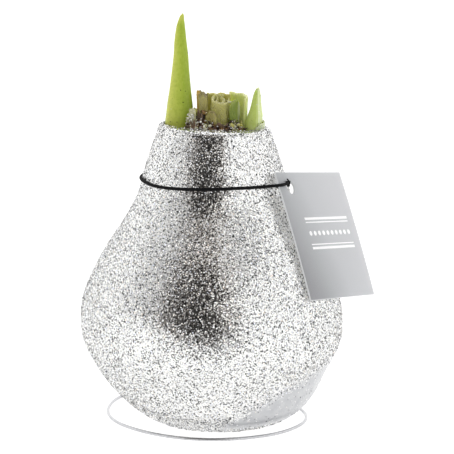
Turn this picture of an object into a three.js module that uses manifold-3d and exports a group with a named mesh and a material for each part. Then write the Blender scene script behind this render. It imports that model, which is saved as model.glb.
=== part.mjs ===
// A waxed amaryllis bulb: the bulb with its cut leaf bases and shoots, a glittered wax coat
// poured round it, a bent wire foot that it is spiked on, and a card tag hung round the neck.
// Millimetres, +Z up. The origin is on the surface it stands on, under the middle of the bulb.

import * as THREE from 'three';
import { mergeVertices } from 'three/addons/utils/BufferGeometryUtils.js';
import Module from 'manifold-3d';

const wasm = await Module();
wasm.setup();

// ---------------------------------------------------------------- driving dimensions

const GAP = 0.3;               // air left between pieces that touch
const WAX = 1.5;               // thickness of the wax coat
const BASE_Z = 1.4;            // underside of the coat, one gap above the wire
const NECK_TOP = 99.8;         // cut top of the bulb's neck
const NECK_TILT = -0.05;       // the neck was cut at a slant: rise per mm towards +X
const NECK_GROOVE = 0.8;       // depth of the grooves between old scales on the cut
const SEAT = NECK_TOP + GAP;   // foot of everything that stands on the neck
const SOCKET = 4;              // depth that the two shoots stand in the neck

// Half outline of the coated bulb, as [radius, height].
const BULB_OUTLINE = [
  [22.6, BASE_Z], [29.3, 5.5], [36.7, 13], [43.5, 25], [45.2, 33], [44.4, 42], [41.0, 51],
  [36.6, 60], [31.1, 69], [26.2, 78], [23.8, 86], [21.6, 93], [19.6, 98.6],
];
// The middle of the bulb wanders as it grew, and slumps forward at its foot: [height, x, y].
const BULB_AXIS = [[BASE_Z, 2.3, -4.9], [20, -0.2, 0], [45, -0.7, 0], [72, 0.2, 0], [103, 0.5, 0]];

// The wax is turned in over the neck's shoulder and ends at an oval mouth round the crown.
const LIP_TOP = [[19.3, 100.1], [18.9, 101.1], [18.1, 101.6], [16.8, 101.8], [15.2, 101.8], [14.5, 101.6]];
const LIP_UNDER = [[14.2, 101.0], [14.5, 100.3], [17.2, 100.1], [18.0, 99.0]];
const LIP_FOOT = 98.9;         // height above which a point may belong to the lip
const LIP_BEND = 17.3;         // radius where the lip starts to narrow to the oval
const MOUTH_RADIUS = 14.2;
const MOUTH_OVAL = 0.24;       // share by which the mouth is wider along X and narrower along Y

const WIRE = 1.1;              // wire of the foot, across its flats
const PRONG_TOP = 20;          // height of the spike in the bulb
const PRONG_AT = [-4.9, -2.9];
const PRONG_BEND = 1.5;        // radius of the turn up into the spike
const RING_AT = [-1.5, 2.7];
// The wire's turn round the bulb, from its free end at the back, as [degrees, radius].
const RING_TURN = [
  [100, 38.4], [125, 37.9], [151, 37.1], [180, 35.4], [205, 34.6], [235, 34.2], [262, 35.4],
  [285, 36.1], [310, 36.7], [333, 36.0], [350, 34.3], [365, 32.2],
];
// Then the wire hooks in under the bulb and runs straight to the spike, as [x, y].
const RING_HOOK = [[29.5, 9.9], [26.5, 12.9], [22.0, 12.8], [16.5, 9.9], [8.3, 4.98], [0, 0]];

const CARD_WIDTH = 41;
const CARD_HEIGHT = 44.8;
const CARD_THICK = 0.6;
const CARD_AT = [38.23, -5.33, 64.86];
const CARD_HEADING = -32.0;    // degrees from +X to the way that the card faces
const CARD_LEAN = 23.5;        // degrees that its face looks up, as it lies on the bulb's flank
const CARD_ROLL = -7.8;        // degrees that it hangs askew
const HOLE_AT = [-13.9, 17.0]; // from the middle of the card
const HOLE_DIAMETER = 4.6;

const CORD = 1.1;              // elastic cord, diameter
const CORD_OFF = CORD / 2 + GAP;
// The cord's way round the neck, from the card's back round behind and on to its front, as
// [degrees, height], and its way through the card, as [across, up, out] from its middle.
const CORD_BEHIND = [
  [-8, 82.9], [12, 83.2], [36, 83.5], [60, 83.6], [86, 83.7], [112, 83.7], [138, 83.7], [162, 83.7],
];
const CORD_IN_FRONT = [
  [181, 83.7], [198, 83.6], [212, 83.3], [226, 83.2], [240, 83.3], [256, 83.5], [272, 83.75], [288, 83.9],
  [302, 83.8],
];
const CORD_THROUGH = [[-21.6, 17.4, 1.4], [-18.6, 17.5, 1.3], [-16, 17.6, 1.05], [-13.9, 17.6, 0], [-11.8, 17.5, -1.3]];
const KNOT_AT = [-15.4, 18.1, 1.7];
const KNOT_RADIUS = 1;
const TAIL_END = [-14.7, 20.3, 1.5];
const TAIL = 0.9;              // the cord's cut end, diameter

// Shoots, as [height above the seat, middle x, half width]. The first row is in the socket
// and the last is the tip. `flat` is the depth as a share of the width.
const TALL_SHOOT = {
  y: 0,
  flat: 0.62,
  rows: [
    [-SOCKET, -11.3, 5.0], [0, -11.4, 5.3], [2.2, -11.3, 5.15], [5.6, -11.25, 4.75], [9.1, -11.2, 4.35],
    [13.1, -11.2, 3.87], [17.2, -11.1, 3.4], [21.3, -11.0, 2.97], [25.4, -10.9, 2.6], [29.4, -11.05, 2.3],
    [32.1, -11.05, 2.0], [34.8, -11.0, 1.67], [36.2, -10.9, 1.42], [37.5, -10.8, 1.13], [38.9, -10.5, 0.75],
    [39.9, -10.2, 0],
  ],
};
const SHORT_SHOOT = {
  y: -2,
  flat: 0.85,
  rows: [
    [-SOCKET, 14.0, 2.3], [0, 14.0, 2.6], [3.4, 14.1, 2.5], [6.6, 14.25, 2.15], [8.4, 14.5, 1.85],
    [10.2, 14.7, 1.6], [12.0, 14.9, 1.35], [13.6, 15.1, 1.0], [14.4, 15.3, 0.65], [15.2, 15.5, 0],
  ],
};

// What is left of the leaves and dry skins on the cut neck. Each is a wall, `thick`, along an
// arc round `at` (degrees, 0 is +X, 90 the back), with its heights spread evenly along the
// arc. `roll` makes the arc tighten, `lean` pushes its top out, `torn` jags its edge.
const LEAF_BASES = [
  { name: 'core_leaf_roll', color: 0x908e51, at: [2.5, -2.0], radius: 2.9, thick: 0.9, arc: [70, 392],
    heights: [12.3, 12.4, 11.5, 10.4, 10.0, 10.4, 11.4], torn: 0.25, cuts: 20 },
  { name: 'core_leaf_inner', color: 0x9da257, at: [2.4, -2.0], radius: 1.55, thick: 0.7, arc: [110, 430],
    heights: [11.4, 10.4, 9.8, 10.6, 11.5], roll: -0.45, torn: 0.2, cuts: 14 },
  { name: 'cut_stump_amber', color: 0x9a8d4d, at: [-2.6, -0.8], radius: 1.9, thick: 1.1, arc: [60, 300],
    heights: [12.4, 12.9, 13.3, 13.2, 12.2, 11.6], torn: 0.5, cuts: 12 },
  { name: 'leaf_base_dark', color: 0x6c772c, at: [3.2, -1.5], radius: 5.0, thick: 1.1, arc: [-66, 4],
    heights: [10.0, 10.8, 10.7, 9.9], torn: 0.1, cuts: 8 },
  { name: 'leaf_base_bright', color: 0xa5b069, at: [5.5, 0.3], radius: 5.35, thick: 1.2, arc: [-30, 78],
    heights: [11.9, 12.5, 12.7, 12.4, 12.5], lean: 0.5, torn: 0.3, cuts: 12 },
  { name: 'leaf_base_back', color: 0x98a060, at: [2.0, -0.5], radius: 5.2, thick: 1.1, arc: [44, 142],
    heights: [12.2, 12.4, 12.0, 12.4], torn: 0.35, cuts: 10 },
  { name: 'leaf_base_rear', color: 0x8f9555, at: [0.5, 0], radius: 7.0, thick: 1.0, arc: [138, 160],
    heights: [5.2, 6.6, 5.4], torn: 0.4, cuts: 5 },
  { name: 'outer_scale_back', color: 0x8c8a5a, at: [2.0, 0], radius: 7.6, thick: 1.0, arc: [66, 126],
    heights: [6.5, 8.2, 8.8, 7.4], torn: 0.5, cuts: 10 },
  { name: 'outer_scale_front', color: 0x918f5c, at: [2.0, -0.5], radius: 7.6, thick: 1.0, arc: [238, 262],
    heights: [6.3, 7.2, 6.5], lean: 0.4, torn: 0.3, cuts: 5 },
  { name: 'outer_scale_olive', color: 0x858a55, at: [2.0, 0], radius: 9.0, thick: 1.0, arc: [292, 307],
    heights: [3.0, 3.8, 3.0], torn: 0.3, cuts: 4 },
  { name: 'outer_scale_right', color: 0x7f8268, at: [3.0, 0], radius: 8.4, thick: 1.0, arc: [307, 329],
    heights: [3.4, 3.0, 4.2], torn: 0.5, cuts: 5 },
  { name: 'dry_tunic_left', color: 0x50442e, at: [0, 0], radius: 10.2, thick: 0.8, arc: [210, 238],
    heights: [2.4, 4.0, 5.6, 6.4, 4.8], torn: 0.6, cuts: 8 },
  { name: 'dry_tunic_middle', color: 0x5a4c33, at: [1.0, 0], radius: 8.0, thick: 0.8, arc: [221, 240],
    heights: [8.4, 7.4, 6.0, 5.4], lean: 0.3, torn: 0.6, cuts: 6 },
  { name: 'dry_tunic_front', color: 0x50442e, at: [2.0, 0], radius: 9.3, thick: 0.8, arc: [262, 289],
    heights: [3.0, 3.8, 2.9, 3.6], torn: 0.5, cuts: 8 },
  { name: 'dry_tunic_back', color: 0x5c5034, at: [0.5, 0.3], radius: 9.3, thick: 0.8, arc: [72, 132],
    heights: [3.4, 5.0, 4.2, 5.6, 3.8], torn: 0.6, cuts: 12 },
  { name: 'dry_tunic_right', color: 0x5c5034, at: [3.0, 0], radius: 9.2, thick: 0.8, arc: [24, 54],
    heights: [4.6, 3.4, 5.2, 4.0], torn: 0.6, cuts: 7 },
  { name: 'waxed_scale_left', color: 0xc9cacb, at: [0, 0], radius: 8.9, thick: 1.0, arc: [206, 230],
    heights: [6.4, 7.6, 8.3, 7.8], lean: 0.3, torn: 0.4, cuts: 7 },
  { name: 'short_shoot_sheath', color: 0xcbd5b0, at: [14.0, -2.0], radius: 3.25, thick: 0.6, arc: [-80, 75],
    heights: [2.2, 3.8, 4.6, 3.2, 1.8], lean: -0.15, torn: 0.1, cuts: 12 },
];

// ---------------------------------------------------------------- helpers

const rad = THREE.MathUtils.degToRad;
const ease = (low, high, value) => THREE.MathUtils.smoothstep(value, low, high);
const toVectors = (pairs) => pairs.map(([r, z]) => new THREE.Vector2(r, z));

// Joins shared corners, drops flattened triangles and turns the faces outwards.
function solid(geometry) {
  geometry.deleteAttribute('normal');
  geometry.deleteAttribute('uv');
  const welded = mergeVertices(geometry, 1e-4);
  const corners = welded.index.array;
  const kept = [];
  for (let i = 0; i < corners.length; i += 3) {
    const [a, b, c] = corners.slice(i, i + 3);
    if (a !== b && b !== c && c !== a) kept.push(a, b, c);
  }
  welded.setIndex(kept);
  if (signedVolume(welded) < 0) welded.setIndex(kept.reverse());
  return welded;
}

function signedVolume(geometry) {
  const place = geometry.attributes.position;
  const [a, b, c] = [new THREE.Vector3(), new THREE.Vector3(), new THREE.Vector3()];
  let six = 0;
  for (let i = 0; i < geometry.index.count; i += 3) {
    a.fromBufferAttribute(place, geometry.index.getX(i));
    b.fromBufferAttribute(place, geometry.index.getX(i + 1));
    c.fromBufferAttribute(place, geometry.index.getX(i + 2));
    six += a.dot(b.cross(c));
  }
  return six / 6;
}

function toManifold(geometry) {
  const closed = solid(geometry);
  return new wasm.Manifold(new wasm.Mesh({
    numProp: 3,
    vertProperties: new Float32Array(closed.attributes.position.array),
    triVerts: new Uint32Array(closed.index.array),
  }));
}

function fromManifold(body) {
  const mesh = body.getMesh();
  const geometry = new THREE.BufferGeometry();
  geometry.setAttribute('position', new THREE.BufferAttribute(mesh.vertProperties, 3));
  geometry.setIndex(Array.from(mesh.triVerts));
  return geometry;
}

// Moves every corner of a geometry to the place that `rule` gives for it.
function reshape(geometry, rule) {
  const place = geometry.attributes.position;
  const point = new THREE.Vector3();
  for (let i = 0; i < place.count; i += 1) {
    const { x, y, z } = rule(point.fromBufferAttribute(place, i));
    place.setXYZ(i, x, y, z);
  }
  return geometry;
}

// Reads a table of rows [key, value, ...] at a key between its rows, with `blend` as the way
// from one row to the next.
function readTable(table, key, blend = (share) => share) {
  const last = table.length - 1;
  let row = table.findIndex((entry, i) => i < last && key < table[i + 1][0]);
  if (row < 0) row = last - 1;
  const [low, high] = [table[row], table[row + 1]];
  const share = blend(THREE.MathUtils.clamp((key - low[0]) / (high[0] - low[0]), 0, 1));
  return low.slice(1).map((value, i) => value + (high[i + 1] - value) * share);
}

function lathe(points, segments) {
  return new THREE.LatheGeometry(points, segments).rotateX(Math.PI / 2);
}

function rod(radius, low, high, [x, y]) {
  const geometry = new THREE.CylinderGeometry(radius, radius, high - low, 16).rotateX(Math.PI / 2);
  return geometry.translate(x, y, (low + high) / 2);
}

// ---------------------------------------------------------------- the bulb's own form

const outlineCurve = new THREE.SplineCurve(toVectors(BULB_OUTLINE));

// The bulb's outline taken in by `inset`, square to the surface.
function outline(steps, inset) {
  const points = [];
  for (let i = 0; i <= steps; i += 1) {
    const at = outlineCurve.getPoint(i / steps);
    const along = outlineCurve.getTangent(i / steps);
    points.push(new THREE.Vector2(at.x - along.y * inset, at.y + along.x * inset));
  }
  return points;
}

const outlineTable = outline(60, 0).map(({ x, y }) => [y, x]);

// Old leaf bases show through the wax as faint upright swells.
function swell(angle, z) {
  const fade = ease(BASE_Z, 15, z) * (1 - ease(70, 95, z));
  return 1 + fade * (0.005 * Math.sin(3 * angle + z / 40) + 0.004 * Math.sin(7 * angle - z / 25));
}

function neckTilt(x, z) {
  return NECK_TILT * x * ease(80, 95, z);
}

// Carries a point of the straight, round form to the grown one.
function grow({ x, y, z }) {
  const [dx, dy] = readTable(BULB_AXIS, z, (share) => ease(0, 1, share));
  const share = swell(Math.atan2(y, x), z);
  return { x: x * share + dx, y: y * share + dy, z: z + neckTilt(x + dx, z) };
}

// A point on the coat's outside, `off` proud of it.
function onCoat(degrees, z, off) {
  const radius = readTable(outlineTable, z)[0] + off;
  const angle = rad(degrees);
  const { x, y } = grow({ x: radius * Math.cos(angle), y: radius * Math.sin(angle), z });
  return new THREE.Vector3(x, y, z);
}

// ---------------------------------------------------------------- coat and bulb

// Narrows the lip to the oval mouth, with a hand-poured edge in front and behind.
function narrowLip({ x, y, z }) {
  const radius = Math.hypot(x, y);
  if (z < LIP_FOOT || radius > LIP_BEND) return { x, y, z };
  const angle = Math.atan2(y, x);
  const facing = Math.sin(angle) ** 2;
  const depth = (LIP_BEND - radius) / (LIP_BEND - MOUTH_RADIUS);
  const wave = 0.03 * Math.sin(5 * angle + 1) * facing;
  const share = 1 + depth * (MOUTH_OVAL * Math.cos(2 * angle) + wave);
  return { x: x * share, y: y * share, z: z + 0.15 * depth * Math.sin(6 * angle) * facing };
}

function waxCoat() {
  const floor = BASE_Z + WAX;
  const section = [
    new THREE.Vector2(0, BASE_Z),
    ...outline(20, 0),
    ...toVectors(LIP_TOP),
    ...toVectors(LIP_UNDER),
    ...outline(13, WAX).slice(1, -1).reverse(),
    new THREE.Vector2(BULB_OUTLINE[0][0] - WAX, floor),
    new THREE.Vector2(0, floor),
  ];
  const cup = reshape(reshape(lathe(section, 44), narrowLip), grow);
  const spikeHole = rod(WIRE / 2 + 3 * GAP, -1, floor + 1, PRONG_AT);
  return fromManifold(toManifold(cup).subtract(toManifold(spikeHole)));
}

function bulb() {
  const inset = WAX + GAP;
  const cutFace = [[17.3, 99.2], [16.2, NECK_TOP]];
  for (const radius of [12.0, 6.9]) {
    cutFace.push([radius + 0.6, NECK_TOP], [radius, NECK_TOP - NECK_GROOVE], [radius - 0.6, NECK_TOP]);
  }
  const section = [
    new THREE.Vector2(0, BASE_Z + inset),
    new THREE.Vector2(BULB_OUTLINE[0][0] - inset, BASE_Z + inset),
    ...outline(13, inset).slice(1, -1),
    ...toVectors(cutFace),
    new THREE.Vector2(0, NECK_TOP),
  ];
  const holes = [rod(WIRE / 2 + GAP, BASE_Z, PRONG_TOP + 1, PRONG_AT), shoot(TALL_SHOOT, GAP), shoot(SHORT_SHOOT, GAP)];
  const whole = toManifold(reshape(lathe(section, 36), grow));
  return fromManifold(holes.reduce((body, hole) => body.subtract(toManifold(hole)), whole));
}

// ---------------------------------------------------------------- shoots and leaf bases

// A pointed shoot of pressed leaves, oval in section. `extra` makes the cutter for its socket.
function shoot({ y, flat, rows }, extra = 0) {
  const table = rows.map(([height, x, half]) => [height, x, half + extra, half * flat + extra]);
  table[0][0] -= extra;
  const foot = new THREE.Vector2(0, table[0][0]);
  const tip = new THREE.Vector2(0, table.at(-1)[0]);
  const side = table.slice(0, -1).map(([height]) => new THREE.Vector2(1, height));
  const tilt = neckTilt(rows[0][1], SEAT);
  return reshape(lathe([foot, ...side, tip], 18), (p) => {
    const [x, half, deep] = readTable(table, p.z);
    return { x: x + half * p.x, y: y + deep * p.y, z: SEAT + tilt + p.z };
  });
}

function leafBase({ at, radius, thick, arc: [from, to], heights, cuts, roll = 0, lean = 0, torn = 0 }) {
  const edge = (side) => Array.from({ length: cuts + 1 }, (_, i) => {
    const share = i / cuts;
    const angle = rad(from + (to - from) * share);
    const half = (thick / 2) * (1 - 0.55 * (2 * share - 1) ** 6);
    const reach = radius + roll * share + side * half;
    return new THREE.Vector2(reach * Math.cos(angle), reach * Math.sin(angle));
  });
  const shape = new THREE.Shape([...edge(1), ...edge(-1).reverse()]);
  const geometry = new THREE.ExtrudeGeometry(shape, { depth: 1, steps: 3, bevelEnabled: false });
  const heightTable = heights.map((height, i) => [i / (heights.length - 1), height]);
  const middle = rad((from + to) / 2);
  return reshape(geometry, ({ x, y, z }) => {
    const turn = THREE.MathUtils.euclideanModulo(Math.atan2(y, x) - middle + Math.PI, 2 * Math.PI) - Math.PI;
    const share = THREE.MathUtils.clamp(0.5 + turn / rad(to - from), 0, 1);
    const jag = torn * (Math.sin(31 * share) + Math.sin(53 * share + 1)) / 2;
    const [height] = readTable(heightTable, share, (part) => ease(0, 1, part));
    const push = 1 + (lean * z * z) / Math.hypot(x, y);
    const place = { x: at[0] + x * push, y: at[1] + y * push };
    return { ...place, z: SEAT + z * (height + jag * z) + neckTilt(place.x, SEAT) };
  });
}

// ---------------------------------------------------------------- wire foot

// Eight-sided section with its flats facing up, down and sideways.
function wireAlong(path, steps, acrossFlats) {
  const reach = acrossFlats / 2 / Math.cos(Math.PI / 8);
  const section = new THREE.Shape(Array.from({ length: 8 }, (_, i) => {
    const angle = rad(22.5 + 45 * i);
    return new THREE.Vector2(reach * Math.cos(angle), reach * Math.sin(angle));
  }));
  return new THREE.ExtrudeGeometry(section, { steps, extrudePath: path, bevelEnabled: false });
}

function wireStand() {
  const middle = WIRE / 2;
  const spike = new THREE.Vector2(...PRONG_AT);
  const run = spike.clone().normalize();
  const runEnd = spike.clone().addScaledVector(run, -PRONG_BEND);
  const turn = RING_TURN.map(([degrees, radius]) => [
    RING_AT[0] + radius * Math.cos(rad(degrees)),
    RING_AT[1] + radius * Math.sin(rad(degrees)),
  ]);
  const route = [...turn, ...RING_HOOK, runEnd.toArray()].map(([x, y]) => new THREE.Vector3(x, y, middle));
  const ring = wireAlong(new THREE.CatmullRomCurve3(route, false, 'centripetal'), 80, WIRE);

  // The spike starts inside the end of the run, turns up and goes straight into the bulb.
  const flat = (away) => new THREE.Vector3(...runEnd.clone().addScaledVector(run, away).toArray(), middle);
  const bendTop = new THREE.Vector3(spike.x, spike.y, middle + PRONG_BEND);
  const up = new THREE.CurvePath();
  up.add(new THREE.LineCurve3(flat(-2), flat(0)));
  up.add(new THREE.QuadraticBezierCurve3(flat(0), flat(PRONG_BEND), bendTop));
  up.add(new THREE.LineCurve3(bendTop, new THREE.Vector3(spike.x, spike.y, PRONG_TOP)));
  const prong = wireAlong(up, 24, WIRE - 0.06);
  return fromManifold(toManifold(ring).add(toManifold(prong)));
}

// ---------------------------------------------------------------- card tag and cord

// Hangs an object on the bulb's flank. The card's own frame has X across it, Y up it and Z
// out of its face.
function placeOnCard(object) {
  const lean = new THREE.Group();
  const heading = new THREE.Group();
  object.rotation.z = rad(90 + CARD_ROLL);
  lean.rotation.y = rad(90 - CARD_LEAN);
  heading.rotation.z = rad(CARD_HEADING);
  heading.position.set(...CARD_AT);
  lean.add(object);
  heading.add(lean);
  heading.updateMatrixWorld(true);
  return heading;
}

function hangTag() {
  const [w, h] = [CARD_WIDTH / 2, CARD_HEIGHT / 2];
  const shape = new THREE.Shape(toVectors([[-w, -h], [w, -h], [w, h], [-w, h]]));
  shape.holes.push(new THREE.Path().absarc(...HOLE_AT, HOLE_DIAMETER / 2, 0, 2 * Math.PI));
  const geometry = new THREE.ExtrudeGeometry(shape, { depth: CARD_THICK, bevelEnabled: false, curveSegments: 20 });
  return geometry.translate(0, 0, -CARD_THICK / 2);
}

const cardFrame = new THREE.Object3D();
placeOnCard(cardFrame);
const onCard = (point) => cardFrame.localToWorld(new THREE.Vector3(...point));

// The cord comes round the front of the neck, over the card's edge, in through the hole and
// back round behind the neck. Its two ends are knotted in front of the hole.
function neckCord() {
  const route = [
    ...CORD_IN_FRONT.map(([degrees, z]) => onCoat(degrees, z, CORD_OFF)),
    ...CORD_THROUGH.map(onCard),
    ...CORD_BEHIND.map(([degrees, z]) => onCoat(degrees, z, CORD_OFF)),
  ];
  const loop = new THREE.TubeGeometry(new THREE.CatmullRomCurve3(route, true), 64, CORD / 2, 8, true);
  const knot = new THREE.IcosahedronGeometry(KNOT_RADIUS, 1).translate(...onCard(KNOT_AT).toArray());
  const tailEnd = new THREE.Shape().absarc(0, 0, TAIL / 2, 0, 2 * Math.PI);
  const tailWay = new THREE.LineCurve3(onCard(KNOT_AT), onCard(TAIL_END));
  const tail = new THREE.ExtrudeGeometry(tailEnd, { steps: 1, extrudePath: tailWay, curveSegments: 8 });
  return fromManifold(toManifold(loop).add(toManifold(knot)).add(toManifold(tail)));
}

// ---------------------------------------------------------------- the whole

function piece(name, geometry, color, roughness, metalness = 0) {
  const mesh = new THREE.Mesh(geometry, new THREE.MeshStandardMaterial({ color, roughness, metalness }));
  mesh.name = name;
  return mesh;
}

const amaryllis = new THREE.Group();
amaryllis.add(
  piece('wax_coat', waxCoat(), 0xd5d6d8, 0.35, 0.8),
  piece('bulb', bulb(), 0x8a6f45, 0.7),
  piece('tall_shoot', solid(shoot(TALL_SHOOT)), 0x9caf3d, 0.45),
  piece('short_shoot', solid(shoot(SHORT_SHOOT)), 0xaab967, 0.45),
  ...LEAF_BASES.map((leaf) => piece(leaf.name, solid(leafBase(leaf)), leaf.color, 0.6)),
  piece('wire_stand', wireStand(), 0xb4b6ba, 0.25, 1),
  piece('neck_cord', neckCord(), 0x111113, 0.8),
  placeOnCard(piece('hang_tag', hangTag(), 0xcacbcd, 0.6)),
);

export default amaryllis;
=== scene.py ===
"""A waxed amaryllis bulb with its shoots, wire stand, cord and tag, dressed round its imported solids.

Sizes are in millimetres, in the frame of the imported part: +Z up, -Y to the front. A mesh goes to
metres when it is made. The angles of the bulb's tables are degrees round +Z, where 0 is +X.
"""

import math

import bpy
import numpy as np
from bpy.props import FloatProperty, FloatVectorProperty, IntProperty, PointerProperty
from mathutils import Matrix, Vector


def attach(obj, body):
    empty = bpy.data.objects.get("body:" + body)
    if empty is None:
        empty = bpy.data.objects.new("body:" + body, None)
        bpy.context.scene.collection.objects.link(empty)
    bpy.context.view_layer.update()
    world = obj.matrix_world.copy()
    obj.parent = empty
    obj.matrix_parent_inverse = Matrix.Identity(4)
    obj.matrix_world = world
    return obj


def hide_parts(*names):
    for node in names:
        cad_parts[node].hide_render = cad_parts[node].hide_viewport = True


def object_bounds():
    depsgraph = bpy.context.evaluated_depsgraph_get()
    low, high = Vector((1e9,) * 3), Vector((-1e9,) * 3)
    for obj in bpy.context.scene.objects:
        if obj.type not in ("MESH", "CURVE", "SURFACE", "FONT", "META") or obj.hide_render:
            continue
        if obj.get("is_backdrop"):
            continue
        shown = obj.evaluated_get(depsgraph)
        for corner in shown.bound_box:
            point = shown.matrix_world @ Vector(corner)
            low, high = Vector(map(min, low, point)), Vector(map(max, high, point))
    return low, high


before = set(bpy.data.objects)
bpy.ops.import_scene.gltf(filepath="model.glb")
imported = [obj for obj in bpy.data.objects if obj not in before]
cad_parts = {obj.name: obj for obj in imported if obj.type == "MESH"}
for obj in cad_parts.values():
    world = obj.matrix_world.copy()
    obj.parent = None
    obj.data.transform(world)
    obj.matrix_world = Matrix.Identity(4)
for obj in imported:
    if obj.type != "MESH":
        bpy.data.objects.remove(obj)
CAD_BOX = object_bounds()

bl_info = {
    "name": "Waxed Amaryllis",
    "version": (1, 0, 0),
    "blender": (4, 5, 0),
    "location": "3D View > Sidebar > Amaryllis",
    "description": "Builds a glittered, waxed amaryllis bulb on its wire stand, with cord and tag",
    "category": "Add Mesh",
}

MM = 0.001
BODY = "root"
TAU = 2 * math.pi

# ---------------------------------------------------------------- sizes shared with the solids

GAP = 0.3  # between the bulb and its wax
WAX = 1.5  # thickness of the wax coat
BASE_Z = 1.4  # underside of the coat
NECK_TOP = 99.8
NECK_TILT = -0.05  # rise of the cut neck to the right, a share of the way
SEAT = NECK_TOP + GAP  # where the shoots and leaves stand

# Radius and height up the flank. The axis is height, then the shift of the middle along X and Y.
BULB_OUTLINE = [
    (22.6, BASE_Z), (29.3, 5.5), (36.7, 13), (43.5, 25), (45.2, 33), (44.4, 42), (41.0, 51),
    (36.6, 60), (31.1, 69), (26.2, 78), (23.8, 86), (21.6, 93), (19.6, 98.6),
]
BULB_AXIS = [(BASE_Z, 2.3, -4.9), (20, -0.2, 0), (45, -0.7, 0), (72, 0.2, 0), (103, 0.5, 0)]
LIP_TOP = [(19.3, 100.1), (18.9, 101.1), (18.1, 101.6), (16.8, 101.8), (15.2, 101.8), (14.5, 101.6)]
LIP_UNDER = [(14.2, 101.0), (14.5, 100.3), (17.2, 100.1), (18.0, 99.0)]
LIP_FOOT = 98.9
LIP_BEND = 17.3
MOUTH_RADIUS = 14.2
MOUTH_OVAL = 0.24

WIRE = 1.1
PRONG_TOP = 20
PRONG_AT = (-4.9, -2.9)
PRONG_BEND = 1.5
RING_AT = (-1.5, 2.7)
RING_TURN = [  # angle and distance from RING_AT
    (100, 38.4), (125, 37.9), (151, 37.1), (180, 35.4), (205, 34.6), (235, 34.2), (262, 35.4),
    (285, 36.1), (310, 36.7), (333, 36.0), (350, 34.3), (365, 32.2),
]
RING_HOOK = [(29.5, 9.9), (26.5, 12.9), (22.0, 12.8), (16.5, 9.9), (8.3, 4.98), (0, 0)]

CARD_WIDTH = 41
CARD_HEIGHT = 44.8
CARD_THICK = 0.6
CARD_AT = (38.23, -5.33, 64.86)
CARD_HEADING = -32.0
CARD_LEAN = 23.5
CARD_ROLL = -7.8
HOLE_AT = (-13.9, 17.0)
HOLE_DIAMETER = 4.6

CORD = 1.1
CORD_LIFT = 0.02  # the elastic lies on the glitter
# The cord round the neck: angle and height. Through the hole it is in the card's own axes.
CORD_BEHIND = [
    (-8, 82.9), (12, 83.2), (36, 83.5), (60, 83.6), (86, 83.7), (112, 83.7), (138, 83.7), (162, 83.7),
]
CORD_IN_FRONT = [
    (181, 83.7), (198, 83.6), (212, 83.3), (226, 83.2), (240, 83.3), (256, 83.5), (272, 83.75), (288, 83.9),
    (302, 83.8),
]
CORD_THROUGH = [
    (-21.6, 17.4, 1.4), (-18.6, 17.7, 1.3), (-16, 18.2, 1.05), (-14.0, 18.6, 0), (-12, 18.2, -1.3),
]
KNOT_AT = (-15.6, 18.4, 1.15)
TAIL_END = (-15.4, 19.7, 1.0)

# Each shoot's rows are height above the seat, middle x and half width, from its foot to its tip.
SHOOTS = {
    "tall_shoot": {
        "y": 0, "flat": 0.62, "seam": 205,
        "rows": [
            (-4, -11.3, 5.0), (0, -11.4, 5.3), (2.2, -11.3, 5.15), (5.6, -11.25, 4.75), (9.1, -11.2, 4.35),
            (13.1, -11.1, 3.8), (17.2, -11.0, 3.32), (21.2, -10.9, 2.89), (25.2, -10.8, 2.52),
            (29.1, -10.92, 2.18), (31.7, -10.9, 1.88), (34.3, -10.83, 1.55), (35.65, -10.73, 1.3),
            (36.9, -10.6, 1.0), (38.3, -10.32, 0.65), (39.3, -10.05, 0),
        ],
    },
    "short_shoot": {
        "y": -2, "flat": 0.85, "seam": 305,
        "rows": [
            (-4, 13.8, 2.7), (0, 13.8, 3.0), (3.4, 13.85, 2.95), (5.9, 14.3, 2.6), (8.0, 14.55, 2.1),
            (10.0, 14.72, 1.72), (12.1, 14.88, 1.42), (14.0, 15.05, 1.0), (15.0, 15.22, 0.62),
            (15.7, 15.4, 0),
        ],
    },
}

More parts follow.
